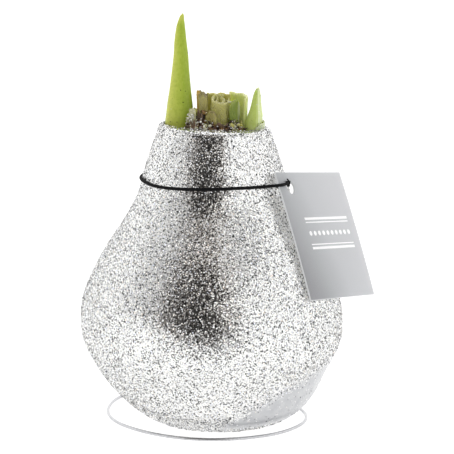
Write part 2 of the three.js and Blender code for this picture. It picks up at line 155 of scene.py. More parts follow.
# Cut leaves and dry skins on the neck. Each is a wall round `at`, with heights spread evenly
# along its arc. `roll` tightens the arc, `lean` pushes the top out and `torn` jags the edge.
LEAF_BASES = {
    "core_leaf_roll": dict(
        at=(2.5, -2.0), radius=2.9, thick=0.9, arc=(70, 392),
        heights=(12.3, 12.4, 11.5, 10.4, 10.0, 10.4, 11.4), torn=0.25, finish="cut_leaf_core"),
    "core_leaf_inner": dict(
        at=(2.4, -2.0), radius=1.55, thick=0.6, arc=(110, 430),
        heights=(11.6, 10.6, 10.0, 10.8, 11.7), roll=-0.45, torn=0.08, finish="cut_leaf_core"),
    "cut_stump_amber": dict(
        at=(-2.8, -0.8), radius=2.1, thick=1.1, arc=(60, 300),
        heights=(12.4, 12.9, 13.3, 13.2, 12.0, 12.6, 11.6), torn=0.8, finish="stump_amber"),
    "leaf_base_dark": dict(
        at=(3.6, -1.5), radius=5.0, thick=1.1, arc=(-66, 4),
        heights=(9.3, 10.9, 11.4, 11.0, 9.0), torn=0.04, finish="cut_leaf_dark"),
    "leaf_base_bright": dict(
        at=(5.5, 0.3), radius=5.35, thick=1.2, arc=(-30, 89),
        heights=(11.9, 12.5, 12.8, 12.5, 12.9), lean=0.5, torn=0.3, finish="cut_leaf_bright"),
    "leaf_base_back": dict(
        at=(2.0, -0.5), radius=5.2, thick=1.1, arc=(44, 142),
        heights=(12.2, 12.4, 12.0, 12.4), torn=0.35, finish="cut_leaf_olive"),
    "leaf_base_rear": dict(
        at=(0.5, 0), radius=7.0, thick=1.0, arc=(138, 160),
        heights=(5.2, 6.6, 5.4), torn=0.4, finish="cut_leaf_olive"),
    "outer_scale_back": dict(
        at=(2.0, 0), radius=7.6, thick=1.0, arc=(66, 126),
        heights=(6.5, 8.2, 8.8, 7.4), torn=0.5, finish="cut_leaf_olive"),
    "outer_scale_front": dict(
        at=(2.0, -0.5), radius=7.6, thick=1.0, arc=(235, 264),
        heights=(5.6, 7.2, 7.6, 7.3, 6.2), lean=0.4, torn=0.45, finish="stump_amber"),
    "outer_scale_olive": dict(
        at=(2.0, 0), radius=9.0, thick=1.0, arc=(292, 307),
        heights=(3.0, 3.8, 3.0), torn=0.3, finish="cut_leaf_olive"),
    "outer_scale_right": dict(
        at=(3.0, 0), radius=8.4, thick=1.0, arc=(307, 329),
        heights=(3.4, 3.0, 4.2), torn=0.5, finish="cut_leaf_olive"),
    "dry_tunic_left": dict(
        at=(0, 0), radius=10.2, thick=0.8, arc=(210, 238),
        heights=(1.6, 3.0, 2.0, 4.2, 2.8, 4.6, 2.4), torn=0.9, finish="dry_tunic"),
    "dry_tunic_middle": dict(
        at=(1.0, 0), radius=8.0, thick=0.8, arc=(221, 240),
        heights=(6.4, 8.0, 5.4, 6.8, 4.4), lean=0.3, torn=0.9, finish="dry_tunic"),
    "dry_tunic_front": dict(
        at=(2.0, 0), radius=9.3, thick=0.8, arc=(262, 289),
        heights=(3.0, 3.8, 2.9, 3.6), torn=0.5, finish="dry_tunic"),
    "dry_tunic_back": dict(
        at=(0.5, 0.3), radius=9.3, thick=0.8, arc=(72, 132),
        heights=(3.4, 5.0, 4.2, 5.6, 3.8), torn=0.6, finish="dry_tunic"),
    "dry_tunic_right": dict(
        at=(3.0, 0), radius=9.2, thick=0.8, arc=(24, 54),
        heights=(4.6, 3.4, 5.2, 4.0), torn=0.6, finish="dry_tunic"),
    "waxed_scale_left": dict(
        at=(0, 0), radius=8.9, thick=1.0, arc=(206, 230),
        heights=(5.4, 7.4, 6.6, 8.3, 7.0), lean=0.3, torn=0.6, finish="waxed_scale"),
    "short_shoot_sheath": dict(
        at=(14.0, -2.0), radius=3.25, thick=0.6, arc=(-80, 75),
        heights=(2.2, 3.8, 4.6, 3.2, 1.8), lean=-0.15, torn=0.1, finish="sheath_pale"),
}

# ---------------------------------------------------------------- arithmetic


def ease(low, high, value):
    """0 up to low, 1 from high, and 3t^2 - 2t^3 between, with t the share of the way."""
    t = np.clip((np.asarray(value, float) - low) / (high - low), 0, 1)
    return t * t * (3 - 2 * t)


def read_rows(rows, key):
    """The values of a table's rows at keys between them, eased from row to row, one array a column."""
    table = np.asarray(rows, float)
    low = np.clip(np.searchsorted(table[:, 0], key, side="right") - 1, 0, len(table) - 2)
    share = ease(table[low, 0], table[low + 1, 0], key)
    return [column[low] + (column[low + 1] - column[low]) * share for column in table[:, 1:].T]


def smooth_line(points, share):
    """Uniform Catmull-Rom curve: on each span, the cubic whose slope at a point is half the step
    between its neighbours. share is 0 to 1 over all the spans."""
    points = np.asarray(points, float)
    spans = len(points) - 1
    at = np.clip(share, 0, 1) * spans
    first = np.minimum(at.astype(int), spans - 1)
    t = (at - first)[:, None]
    p0, p1, p2, p3 = (points[np.clip(first + k, 0, spans)] for k in (-1, 0, 1, 2))
    return 0.5 * (2 * p1 + (p2 - p0) * t + (2 * p0 - 5 * p1 + 4 * p2 - p3) * t**2
                  + (3 * p1 - p0 - 3 * p2 + p3) * t**3)


ROUTE_STEPS = 24  # points on a span


def route(points, closed=False):
    """Centripetal Catmull-Rom curve through points: a cubic on each span, whose end slopes weigh
    the neighbouring steps by the square root of their lengths."""
    points = np.asarray(points, float)
    if closed:
        ring = np.vstack([points[-1], points, points[:2]])
    else:
        ring = np.vstack([2 * points[0] - points[1], points, 2 * points[-1] - points[-2]])
    x0, x1, x2, x3 = ring[:-3], ring[1:-2], ring[2:-1], ring[3:]
    d0, d1, d2 = (np.sqrt(np.linalg.norm(b - a, axis=1))[:, None] for a, b in ((x0, x1), (x1, x2), (x2, x3)))
    s1 = ((x1 - x0) / d0 - (x2 - x0) / (d0 + d1) + (x2 - x1) / d1) * d1
    s2 = ((x2 - x1) / d1 - (x3 - x1) / (d1 + d2) + (x3 - x2) / d2) * d1
    t = (np.arange(ROUTE_STEPS) / ROUTE_STEPS)[None, :, None]
    x1, x2, s1, s2 = (a[:, None, :] for a in (x1, x2, s1, s2))
    curve = x1 + s1 * t + (3 * (x2 - x1) - 2 * s1 - s2) * t**2 + (2 * (x1 - x2) + s1 + s2) * t**3
    curve = curve.reshape(-1, points.shape[1])
    return curve if closed else np.vstack([curve, points[-1]])


def even_steps(path, step, closed=False):
    """The same path with its points an even distance apart, close to step."""
    if closed:
        path = np.vstack([path, path[:1]])
    length = np.concatenate([[0], np.cumsum(np.linalg.norm(np.diff(path, axis=0), axis=1))])
    count = max(2, round(length[-1] / step))
    at = np.linspace(0, length[-1], count + 1)
    even = np.stack([np.interp(at, length, column) for column in path.T], 1)
    return even[:-1] if closed else even


def ripple(seed, *coordinates, waves=6):
    """A smooth random field, mostly from -1 to 1: a sum of sine waves with random directions and
    phases across the coordinates, which are already scaled to radians for a middling wave."""
    draw = np.random.default_rng(seed)
    total = 0
    for _ in range(waves):
        phase = draw.uniform(0, TAU)
        total = total + np.sin(sum(draw.normal(0, 1) * c for c in coordinates) + phase)
    return total / (1.5 * math.sqrt(waves))


def unit(vectors):
    """Vectors turned to a length of 1."""
    return vectors / np.maximum(np.linalg.norm(vectors, axis=-1, keepdims=True), 1e-12)


def turned(x, y, angle):
    """x and y turned by an angle in degrees."""
    a = math.radians(angle)
    return x * math.cos(a) - y * math.sin(a), x * math.sin(a) + y * math.cos(a)


# ---------------------------------------------------------------- skins and pieces


def skin(points, uv=None, wrap_rows=False, **values):
    """A closed body from a grid of points, rows by columns: a quad between each four neighbours.
    The last column joins up with the first, and so does the last row where the rows wrap. Where
    they don't, the first and last end in a fan to their middle. uv is one column longer, and one
    row where the rows wrap. values are one number a point, for the materials."""
    rows, columns = points.shape[:2]
    index = np.arange(rows * columns).reshape(rows, columns)
    if wrap_rows:
        index = np.vstack([index, index[:1]])
    index = np.hstack([index, index[:, :1]])
    if uv is None:
        u, v = np.meshgrid(np.linspace(0, 1, index.shape[1]), np.linspace(0, 1, index.shape[0]))
        uv = np.stack([u, v], -1)
    corners = ((0, 0), (0, 1), (1, 1), (1, 0))
    high, wide = index.shape[0] - 1, index.shape[1] - 1
    quads = np.stack([index[r:r + high, c:c + wide].ravel() for r, c in corners], 1)
    quad_uv = np.stack([uv[r:r + high, c:c + wide].reshape(-1, 2) for r, c in corners], 1)
    flat = points.reshape(-1, 3)
    columns_of = {name: np.broadcast_to(value, points.shape[:2]).ravel() for name, value in values.items()}
    tris, tri_uv = [np.empty((0, 3), int)], [np.empty((0, 3, 2))]
    if not wrap_rows:
        for row, order in ((0, (1, 0)), (-1, (0, 1))):
            pole = len(flat)
            flat = np.vstack([flat, points[row].mean(0)])
            rim = index[row, :-1]
            columns_of = {name: np.append(value, value[rim].mean()) for name, value in columns_of.items()}
            ends = np.stack([rim, index[row, 1:]], 1)[:, order]
            tris.append(np.column_stack([ends, np.full(wide, pole)]))
            edge = np.stack([uv[row, :-1], uv[row, 1:]], 1)[:, order]
            tri_uv.append(np.concatenate([edge, edge.mean(1, keepdims=True)], 1))
    body = {"points": flat, "quads": quads, "quad_uv": quad_uv, "tris": np.vstack(tris),
            "tri_uv": np.concatenate(tri_uv), "values": columns_of}
    return facing_out(body)


def facing_out(body):
    """The body with its faces turned round if they enclose a negative volume."""
    p, q, t = body["points"], body["quads"], body["tris"]
    corners = np.vstack([q[:, [0, 1, 2]], q[:, [0, 2, 3]], t])
    a, b, c = (p[corners[:, k]] for k in range(3))
    if np.einsum("ij,ij->", a, np.cross(b, c)) < 0:
        for faces, places in (("quads", "quad_uv"), ("tris", "tri_uv")):
            body[faces], body[places] = body[faces][:, ::-1], body[places][:, ::-1]
    return body


def joined(bodies):
    """Several bodies as one, with the corner numbers of each moved on past those before it."""
    starts = np.cumsum([0] + [len(body["points"]) for body in bodies[:-1]])
    whole = {key: np.concatenate([body[key] for body in bodies]) for key in ("points", "quad_uv", "tri_uv")}
    for key in ("quads", "tris"):
        whole[key] = np.concatenate([body[key] + start for body, start in zip(bodies, starts)])
    names = bodies[0]["values"]
    whole["values"] = {name: np.concatenate([body["values"][name] for body in bodies]) for name in names}
    return whole


def make_piece(name, body, material, replaces=(), smooth=True, uv_name="surface", crease=None):
    """Puts a body, given in millimetres, into a mesh object that rides on the part."""
    mesh = bpy.data.meshes.new(name)
    quads, tris = body["quads"], body["tris"]
    mesh.vertices.add(len(body["points"]))
    mesh.vertices.foreach_set("co", (body["points"] * MM).astype(np.float32).ravel())
    mesh.loops.add(quads.size + tris.size)
    mesh.loops.foreach_set("vertex_index", np.concatenate([quads.ravel(), tris.ravel()]).astype(np.int32))
    starts = np.concatenate([np.arange(len(quads)) * 4, quads.size + np.arange(len(tris)) * 3])
    mesh.polygons.add(len(starts))
    mesh.polygons.foreach_set("loop_start", starts.astype(np.int32))
    mesh.update(calc_edges=True)
    layer = mesh.uv_layers.new(name=uv_name)
    places = np.concatenate([body["quad_uv"].reshape(-1, 2), body["tri_uv"].reshape(-1, 2)])
    layer.uv.foreach_set("vector", places.astype(np.float32).ravel())
    for key, value in body["values"].items():
        mesh.attributes.new(key, "FLOAT", "POINT").data.foreach_set("value", value.astype(np.float32))
    mesh.polygons.foreach_set("use_smooth", np.full(len(starts), smooth))
    if crease is not None:
        mesh.set_sharp_from_angle(angle=math.radians(crease))
    if mesh.validate():
        raise RuntimeError(f"{name}: its mesh had faults")
    mesh.materials.append(material)
    piece = bpy.data.objects.new(name, mesh)
    bpy.context.scene.collection.objects.link(piece)
    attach(piece, BODY)
    if replaces:
        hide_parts(*replaces)


def tube(path, radius, side, closed=False, around=16, **values):
    """A round rod along a path: circles square to it. side is a direction near the plane of each
    circle, from which its angles count. radius is a number, or an array of rows by around."""
    along = np.gradient(path, axis=0)
    if closed:
        along = np.roll(path, -1, 0) - np.roll(path, 1, 0)
    along = unit(along)
    side = np.broadcast_to(side, path.shape)
    across = unit(side - (side * along).sum(1, keepdims=True) * along)
    third = np.cross(along, across)
    angle = np.arange(around) / around * TAU
    reach = np.broadcast_to(radius, (len(path), around))[..., None]
    ring = across[:, None] * np.cos(angle)[:, None] + third[:, None] * np.sin(angle)[:, None]
    length = np.concatenate([[0], np.cumsum(np.linalg.norm(np.diff(path, axis=0), axis=1))])
    if closed:
        length = np.append(length, length[-1] + np.linalg.norm(path[0] - path[-1]))
    u, v = np.meshgrid(np.linspace(0, 1, around + 1), length)
    return skin(path[:, None] + reach * ring, np.stack([u, v], -1), wrap_rows=closed, **values)


# ---------------------------------------------------------------- the bulb's form


def neck_tilt(x, z):
    """How far the slant of the cut neck lifts a point."""
    return NECK_TILT * x * ease(80, 95, z)


def grow(points):
    """Carries the straight, round form to the grown one: faint upright swells where old leaf bases
    lie, sin(3a + z/40) and sin(7a - z/25), the wander of the middle, and the slant of the neck."""
    x, y, z = np.moveaxis(points, -1, 0)
    angle = np.arctan2(y, x)
    fade = ease(BASE_Z, 15, z) * (1 - ease(70, 95, z))
    share = 1 + fade * (0.005 * np.sin(3 * angle + z / 40) + 0.004 * np.sin(7 * angle - z / 25))
    dx, dy = read_rows(BULB_AXIS, z)
    return np.stack([x * share + dx, y * share + dy, z + neck_tilt(x + dx, z)], -1)


def narrow_lip(points):
    """Narrows the lip, by its depth past LIP_BEND, to a mouth that is wider along X by cos(2a)."""
    x, y, z = np.moveaxis(points, -1, 0)
    radius = np.hypot(x, y)
    angle = np.arctan2(y, x)
    facing = np.sin(angle) ** 2
    depth = np.where(z < LIP_FOOT, 0, np.maximum(0, (LIP_BEND - radius) / (LIP_BEND - MOUTH_RADIUS)))
    share = 1 + depth * (MOUTH_OVAL * np.cos(2 * angle) + 0.03 * np.sin(5 * angle + 1) * facing)
    return np.stack([x * share, y * share, z + 0.15 * depth * np.sin(6 * angle) * facing], -1)


RIB_TURN = [(76, -90), (86, -85), (94, -79), (103, -74)]  # height and angle of the rib's crest
RIB_HEIGHT = 0.5
RIB_WIDTH = 14  # degrees from its crest to where it has sunk to 1 / e
POUR = 0.22  # height of the ripple that the pouring left


def as_poured(points):
    """Carries the coat from its round form to how it set: a low rib up the front of the neck,
    e^-(angle / width)^2, over a leaf's midrib, and a ripple from the pouring. Then it is grown."""
    x, y, z = np.moveaxis(points, -1, 0)
    angle = np.arctan2(y, x)
    (crest,) = read_rows(RIB_TURN, z)
    past = np.degrees(np.arctan2(np.sin(angle - np.radians(crest)), np.cos(angle - np.radians(crest))))
    rib = RIB_HEIGHT * np.exp(-((past / RIB_WIDTH) ** 2)) * ease(76, 96, z)
    pour = POUR * ripple(3, 2.6 * np.sin(angle), 2.6 * np.cos(angle), z / 8, waves=10) * ease(BASE_Z, 12, z)
    share = 1 + (rib + pour) / np.maximum(np.hypot(x, y), 8)
    return grow(narrow_lip(np.stack([x * share, y * share, z], -1)))


OUTLINE_STEPS = 240


def outline(inset=0.0):
    """Half outline of the coated bulb, taken in square to itself by inset."""
    line = smooth_line(BULB_OUTLINE, np.linspace(0, 1, OUTLINE_STEPS))
    slope = unit(np.gradient(line, axis=0))
    return line + inset * np.stack([-slope[:, 1], slope[:, 0]], 1)


def coat_line(step):
    """The outside of the coat from the foot's middle, up the flank and over the lip."""
    foot = np.array([(0, BASE_Z), (BULB_OUTLINE[0][0] - 0.4, BASE_Z)])
    lip = smooth_line([BULB_OUTLINE[-1], *LIP_TOP], np.linspace(0, 1, 60))
    return even_steps(np.vstack([foot, outline()[1:], lip[1:]]), step)


def around(line, angles):
    """A half outline of radius and height turned round Z, one column an angle."""
    r, z = line[:, :1], line[:, 1:]
    return np.stack([r * np.cos(angles), r * np.sin(angles), z + 0 * angles], -1)


def from_axis(radius, angle, height):
    """Points of the coat from their radius, angle and height before it is poured."""
    return as_poured(np.stack([radius * np.cos(angle), radius * np.sin(angle), height], -1))


def on_coat(degrees, height, off):
    """Points beside the coat, off proud of it."""
    fine = outline()
    radius = np.interp(height, fine[:, 1], fine[:, 0]) + off
    return from_axis(radius, np.radians(degrees), height)


COAT_AREA = 28500  # square millimetres
LINE_STEP = 0.2
STRAY_ROUND = 0.35  # how far a flake strays round the coat, as a share of the space between flakes


def coat_spots(first, last, total, draw):
    """Places on the coat, even by area and numbered from its foot to its lip: number i lies where
    i / total of the area is below it, one golden angle on from the last, moved a little at random.
    Returns the places, the ways out of the surface and their angles and heights."""
    line = coat_line(LINE_STEP)
    rows = np.arange(len(line))
    area = np.cumsum(line[:, 0])
    number = np.arange(first, last) + draw.uniform(-0.5, 0.5, last - first)
    spacing = math.sqrt(COAT_AREA / total)
    at = np.interp(number / total * area[-1], area, rows) + draw.normal(0, spacing, last - first)
    at = np.clip(at, 1, len(line) - 2)
    golden = math.pi * (3 - math.sqrt(5))
    wide = np.maximum(np.interp(at, rows, line[:, 0]), 1)
    angle = np.arange(first, last) * golden + draw.normal(0, STRAY_ROUND * spacing, last - first) / wide

    def place(row, turn):
        return from_axis(np.interp(row, rows, line[:, 0]), turn, np.interp(row, rows, line[:, 1]))

    spot = place(at, angle)
    up = place(at + 0.5, angle) - place(at - 0.5, angle)
    round_it = place(at, angle + 0.002) - place(at, angle - 0.002)
    return spot, unit(np.cross(round_it, up)), angle, spot[:, 2]


BARE_AT = math.radians(-6)  # angle at which the bare patch is highest
BARE_TOP = 22  # its height there, above its height at the sides
BARE_EDGE = (-2, 6)  # where its edge starts and ends, from that height
STRAY = 0.03  # share of the glitter that stuck below it
RIM_EDGE = (2.4, 4.4)  # height over which the glitter on the rim of the foot thins out
RIM_SHARE = 0.9


def glitter_cover(angle, height):
    """Share of the glitter that stuck: all of it, but little low down on the right, where the bulb
    was held while it was dusted and the silver wax under the glitter shows. The rim of the foot in
    front picked some up again."""
    above = height - BARE_TOP * np.clip(np.cos(angle - BARE_AT), 0, 1)
    rim = RIM_SHARE * (1 - ease(*RIM_EDGE, height)) * ease(0.3, 0.5, -np.sin(angle))
    return np.maximum(STRAY + (1 - STRAY) * ease(*BARE_EDGE, above), rim)


# ---------------------------------------------------------------- materials


def linear(colour):
    """A colour as linear red, green, blue and 1, from a hex colour in sRGB or the number of a grey.
    One that is linear already stays as it is."""
    if isinstance(colour, str):
        parts = [int(colour[i:i + 2], 16) / 255 for i in (1, 3, 5)]
        return (*(c / 12.92 if c <= 0.04045 else ((c + 0.055) / 1.055) ** 2.4 for c in parts), 1.0)
    return colour if np.ndim(colour) else (colour, colour, colour, 1.0)


def connect(tree, node, inputs):
    """Gives a node its inputs, in order or by name or number. Each is a link, a value or a hex
    colour."""
    for socket, value in inputs.items() if isinstance(inputs, dict) else enumerate(inputs):
        if isinstance(value, bpy.types.NodeSocket):
            tree.links.new(value, node.inputs[socket])
        else:
            node.inputs[socket].default_value = linear(value) if isinstance(value, str) else value


def add(tree, kind, inputs=(), out=0, stops=(), **settings):
    """Adds a node with its settings and links, and gives its output of that name or number, or all
    of them for None. kind may end with the node's operation. stops are a colour ramp's places
    and colours."""
    kind, _, operation = kind.partition(" ")
    node = tree.nodes.new(f"ShaderNode{kind}")
    if operation:
        node.operation = operation
    for name, value in settings.items():
        setattr(node, name, value)
    connect(tree, node, inputs)
    if stops:
        first, *middle, last = stops
        elements = node.color_ramp.elements
        for element, (place, colour) in zip(elements, (first, last)):
            element.position, element.color = place, linear(colour)
        for place, colour in middle:
            elements.new(place).color = linear(colour)
    return node.outputs if out is None else node.outputs[out]


def new_material(name):
    """A new material, and the node tree that holds its Principled shader."""
    material = bpy.data.materials.new(name)
    material.use_nodes = True
    return material, material.node_tree


def finish(material, **inputs):
    """Gives a material's Principled shader its inputs, by name with _ for a space."""
    tree = material.node_tree
    named = {key.replace("_", " "): value for key, value in inputs.items()}
    connect(tree, tree.nodes["Principled BSDF"], named)
    return material


def scaled(tree, millimetres, stretch=(1, 1, 1)):
    """Object coordinates, which are metres, turned so that 1 is a size in millimetres."""
    each = tuple(1 / (millimetres * MM * s) for s in stretch)
    return add(tree, "VectorMath MULTIPLY", [add(tree, "TexCoord", out="Object"), each])


def mapped(tree, wide, high):
    """The piece's own map, turned so that 1 is a width and a height in the map's units."""
    return add(tree, "VectorMath MULTIPLY", [add(tree, "UVMap", uv_map="surface"), (1 / wide, 1 / high, 1)])


def layered(tree, tone, *layers):
    """A colour with others laid over it. A layer is a field, the stops of a ramp from the field to
    how much the layer covers, and its colour. Without stops the field itself says how much."""
    for field, stops, colour in layers:
        cover = add(tree, "ValToRGB", [field], stops=stops) if stops else field
        tone = add(tree, "Mix", {0: cover, 6: tone, 7: colour}, out=2, data_type="RGBA")
    return tone


DUST = 0.36  # width of a grain of glitter dust
DUST_TILT = 2.2  # a grain's face leans from the wax by this times the cube of -0.5 to 0.5


def silver_wax(colour):
    """Paraffin wax dyed with silver mica, hand dipped: a soft metallic gleam, faintly mottled. Where
    it was dusted, fine grains of glitter are worked into it: a cell of a Voronoi pattern is a grain
    with a face that leans its own way, most of them a little. One in six is dark: painted shade, for
    grains that would mirror something dark."""
    material, tree = new_material("silver_wax")
    cloud = add(tree, "TexNoise", {"Vector": scaled(tree, 14), "Detail": 3.0})
    dust = add(tree, "TexVoronoi", {"Vector": scaled(tree, DUST), "Scale": 1.0}, out="Color")
    grain = add(tree, "SeparateColor", [dust], out=None)
    share = add(tree, "Attribute", out="Fac", attribute_name="dusted")
    dusted = add(tree, "Math LESS_THAN", [grain["Blue"], share])
    wax = add(tree, "ValToRGB", [cloud], stops=[(0.3, "#b3b4b7"), (0.7, colour)])
    # The two darkest stops paint one grain in six dark: painted shade, for grains that mirror something dark.
    grains = add(tree, "ValToRGB", [grain["Red"]], stops=[
        (0.0, "#08080a"), (0.15, "#18191b"), (0.17, "#c8c9ca"), (0.5, "#e2e2e1"), (1.0, "#f9f9f6")])
    rough = add(tree, "MapRange", {"Value": dusted, "To Min": 0.3, "To Max": 0.14})
    lean = add(tree, "VectorMath SUBTRACT", [dust, (0.5, 0.5, 0.5)])
    squared = add(tree, "VectorMath MULTIPLY", [lean, lean])
    cubed = add(tree, "VectorMath MULTIPLY", [squared, lean])
    reach = add(tree, "Math MULTIPLY", [dusted, DUST_TILT])
    leant = add(tree, "VectorMath SCALE", {0: cubed, "Scale": reach})
    faced = add(tree, "VectorMath ADD", [add(tree, "NewGeometry", out="Normal"), leant])
    face = add(tree, "VectorMath NORMALIZE", [faced])
    return finish(material, Base_Color=layered(tree, wax, (dusted, (), grains)), Roughness=rough,
                  Normal=face, Metallic=0.96)


def glitter_flake(bright, dull_and_shaded):
    """Aluminised polyester film cut to hexagons: each flake is a small mirror. A few are dark and
    rougher, painted shade for flakes that mirror something dark, and a few are tinted bluish or
    warm, a painted reflection of the room round them."""
    material, tree = new_material("aluminised_film_flakes")
    tint = add(tree, "Attribute", out="Fac", attribute_name="tint")
    # The darkest stops are painted shade, for flakes that mirror something dark; the bluish and warm stops at
    # the top are a painted reflection of the room.
    tone = add(tree, "ValToRGB", [tint], stops=[
        (0.0, "#0c0c0e"), (0.13, dull_and_shaded), (0.16, "#dcdddf"), (0.5, bright), (0.8, "#f8f6f0"),
        (0.9, "#e6e9f4"), (1.0, "#f2e9de")])
    rough = add(tree, "MapRange", {"Value": tint, "To Min": 0.25, "To Max": 0.06})
    return finish(material, Base_Color=tone, Roughness=rough, Metallic=1.0)


def young_leaf(name, colours):
    """A young amaryllis leaf: waxy cuticle over green flesh, with fine veins along it, a paler
    margin at the seam, a yellower foot and a few brown specks. Low down, its outer side takes the
    side colour: painted shade on the tall shoot, where it is a darker green."""
    material, tree = new_material(name)
    body, margin, foot, side = colours
    height, turn = (add(tree, "Attribute", out="Fac", attribute_name=key) for key in ("rise", "turn"))
    veins = add(tree, "TexNoise", {"Vector": scaled(tree, 0.45, (1, 1, 26)), "Detail": 2.0})
    blotch = add(tree, "TexNoise", {"Vector": scaled(tree, 5), "Detail": 2.0})
    specks = add(tree, "TexVoronoi", {"Vector": scaled(tree, 3.4), "Scale": 1.0})
    along = add(tree, "ValToRGB", [height], stops=[(0.0, foot), (0.22, body), (0.9, body), (1.0, margin)])
    outer = add(tree, "ValToRGB", [turn], stops=[(0.18, 0), (0.32, 1), (0.8, 1), (1.0, 0)])
    low = add(tree, "ValToRGB", [height], stops=[(0.05, 1), (0.75, 0.15)])
    tone = layered(
        tree, along,
        # Painted shade: the outer side, low down, takes the side colour.
        (add(tree, "Math MULTIPLY", [outer, low]), (), side),
        (turn, [(0.0, 1), (0.1, 0.55), (0.26, 0), (0.95, 0), (1.0, 0.8)], margin),
        (veins, [(0.35, 0), (0.7, 0.3)], margin),
        (blotch, [(0.45, 0), (0.75, 0.35)], side),
        (specks, [(0.055, 0.9), (0.085, 0)], "#2f3014"),
    )
    bump = add(tree, "Bump", {"Height": veins, "Strength": 0.25, "Distance": 0.08 * MM})
    return finish(material, Base_Color=tone, Normal=bump, Roughness=0.36, Specular_IOR_Level=0.3,
                  Subsurface_Weight=0.2, Subsurface_Scale=1 * MM, Subsurface_Radius=(0.8, 1.0, 0.3))


def cut_leaf(name, body, rim, stain, stained=0.5, fresh=0.3, edge_tone=None, edge_shift=0.0, crease=None):
    """A cut leaf base: moist flesh with fibres up it, a pale cut rim that has dried in places, and
    brown stains that gather at its foot. stained is how far they reach and fresh is how moist it
    is, both 0 to 1. edge_tone is the colour it dried to on its left side, or on the right one
    with an edge_shift of half a turn. crease is a colour laid in thin lines along its fine
    creases: painted shade where it is dark, a painted highlight where it is pale."""
    material, tree = new_material(name)
    at_rim, height, turn = (
        add(tree, "Attribute", out="Fac", attribute_name=key) for key in ("rim", "rise", "turn"))
    fibres = add(tree, "TexNoise", {"Vector": mapped(tree, 0.32, 5), "Detail": 3.0})
    patches = add(tree, "TexNoise", {"Vector": scaled(tree, 1.7), "Detail": 5.0, "Roughness": 0.62})
    spots = add(tree, "TexNoise", {"Vector": scaled(tree, 0.45), "Detail": 2.0})
    low = add(tree, "MapRange", {"Value": height, "From Max": 0.55, "To Min": stained * 0.3, "To Max": 0.0})
    reach = add(tree, "Math ADD", [patches, low])
    edge = 0.76 - 0.3 * stained
    dried = layered(tree, rim, (spots, [(0.5, 0), (0.6, 0.9)], stain))
    layers = [(fibres, [(0.36, 0), (0.66, 0.6)], rim), (at_rim, (), dried),
              (reach, [(edge, 0), (edge + 0.09, 1)], stain)]
    if crease:
        # Painted light along thin crease lines: painted shade where the crease colour is dark, painted
        # highlights where it is pale.
        painted_crease_lines = add(tree, "TexNoise", {"Vector": scaled(tree, 1.1), "Detail": 1.5})
        layers.append((painted_crease_lines, [(0.43, 0), (0.46, 0.9), (0.47, 0.9), (0.5, 0), (0.56, 0), (0.58, 0.8),
                               (0.6, 0)], crease))
    if edge_tone:
        shifted = add(tree, "Math ADD", [turn, edge_shift])
        layers.append((shifted, [(0.42, 0), (0.5, 1), (0.58, 1), (0.64, 0)], edge_tone))
    rough = add(tree, "MapRange", {"Value": patches, "To Min": 0.25, "To Max": 0.75})
    relief = add(tree, "Math ADD", [fibres, patches])
    bump = add(tree, "Bump", {"Height": relief, "Strength": 0.6, "Distance": 0.25 * MM})
    return finish(material, Base_Color=layered(tree, body, *layers), Roughness=rough, Normal=bump,
                  Subsurface_Weight=0.4 + 0.4 * fresh, Subsurface_Scale=1.5 * MM,
                  Subsurface_Radius=(1.0, 1.0, 0.4), Coat_Weight=fresh, Coat_Roughness=0.2,
                  Specular_IOR_Level=0.3)


def dry_skin(name, dark, light):
    """Papery brown tunic: thin dead skin, with long fine veins, split and sun-bleached in streaks."""
    material, tree = new_material(name)
    veins = add(tree, "TexNoise", {"Vector": mapped(tree, 0.25, 3), "Detail": 4.0})
    stains = add(tree, "TexNoise", {"Vector": scaled(tree, 1.3), "Detail": 4.0})
    tone = layered(tree, dark, (veins, [(0.35, 0), (0.7, 1)], light),
                   (stains, [(0.5, 0), (0.68, 0.8)], "#3a2a26"))
    bump = add(tree, "Bump", {"Height": veins, "Strength": 0.7, "Distance": 0.2 * MM})
    return finish(material, Base_Color=tone, Normal=bump, Roughness=0.55, Sheen_Weight=0.2)


def clear_wax():
    """Drops of clear paraffin wax set on the cut leaves: glossy, whitish or the olive of the leaf
    that they are on."""
    material, tree = new_material("paraffin_drops")
    kind = add(tree, "Attribute", out="Fac", attribute_name="kind")
    tone = add(tree, "ValToRGB", [kind], stops=[(0.0, "#8c8a55"), (0.4, "#b4b292"), (1.0, "#ecece6")])
    return finish(material, Base_Color=tone, Roughness=0.15, Subsurface_Weight=0.5,
                  Subsurface_Scale=0.5 * MM, Subsurface_Radius=(1, 1, 0.9))


def dead_scraps():
    """Scraps of dead skin and leaf, wet with wax: from near black through brown and amber to olive."""
    material, tree = new_material("dead_scraps")
    kind = add(tree, "Attribute", out="Fac", attribute_name="kind")
    stains = add(tree, "TexNoise", {"Vector": scaled(tree, 0.7), "Detail": 3.0})
    tone = add(tree, "ValToRGB", [kind], stops=[
        (0.0, "#170f0c"), (0.3, "#3d2319"), (0.5, "#6b4120"), (0.62, "#96702c"), (0.75, "#8f8c48"),
        (1.0, "#cfcda4")])
    stained = layered(tree, tone, (stains, [(0.45, 0), (0.65, 0.7)], "#2a1c14"))
    return finish(material, Base_Color=stained, Roughness=0.3, Coat_Weight=0.3, Coat_Roughness=0.1)


def bulb_flesh():
    """The bulb under its wax: dry brown scales, and on the cut neck rings of old leaf bases."""
    material, tree = new_material("amaryllis_scales")
    rings = add(tree, "TexNoise", {"Vector": scaled(tree, 1.1, (1, 1, 8)), "Detail": 5.0})
    stains = add(tree, "TexNoise", {"Vector": scaled(tree, 3.2), "Detail": 3.0})
    scale = add(tree, "ValToRGB", [rings], stops=[(0.3, "#2c2418"), (0.5, "#5d4b2d"), (0.7, "#8d7c4e")])
    tone = layered(tree, scale, (stains, [(0.5, 0), (0.7, 0.8)], "#33251d"))
    bump = add(tree, "Bump", {"Height": rings, "Strength": 0.8, "Distance": 0.4 * MM})
    return finish(material, Base_Color=tone, Normal=bump, Roughness=0.62)


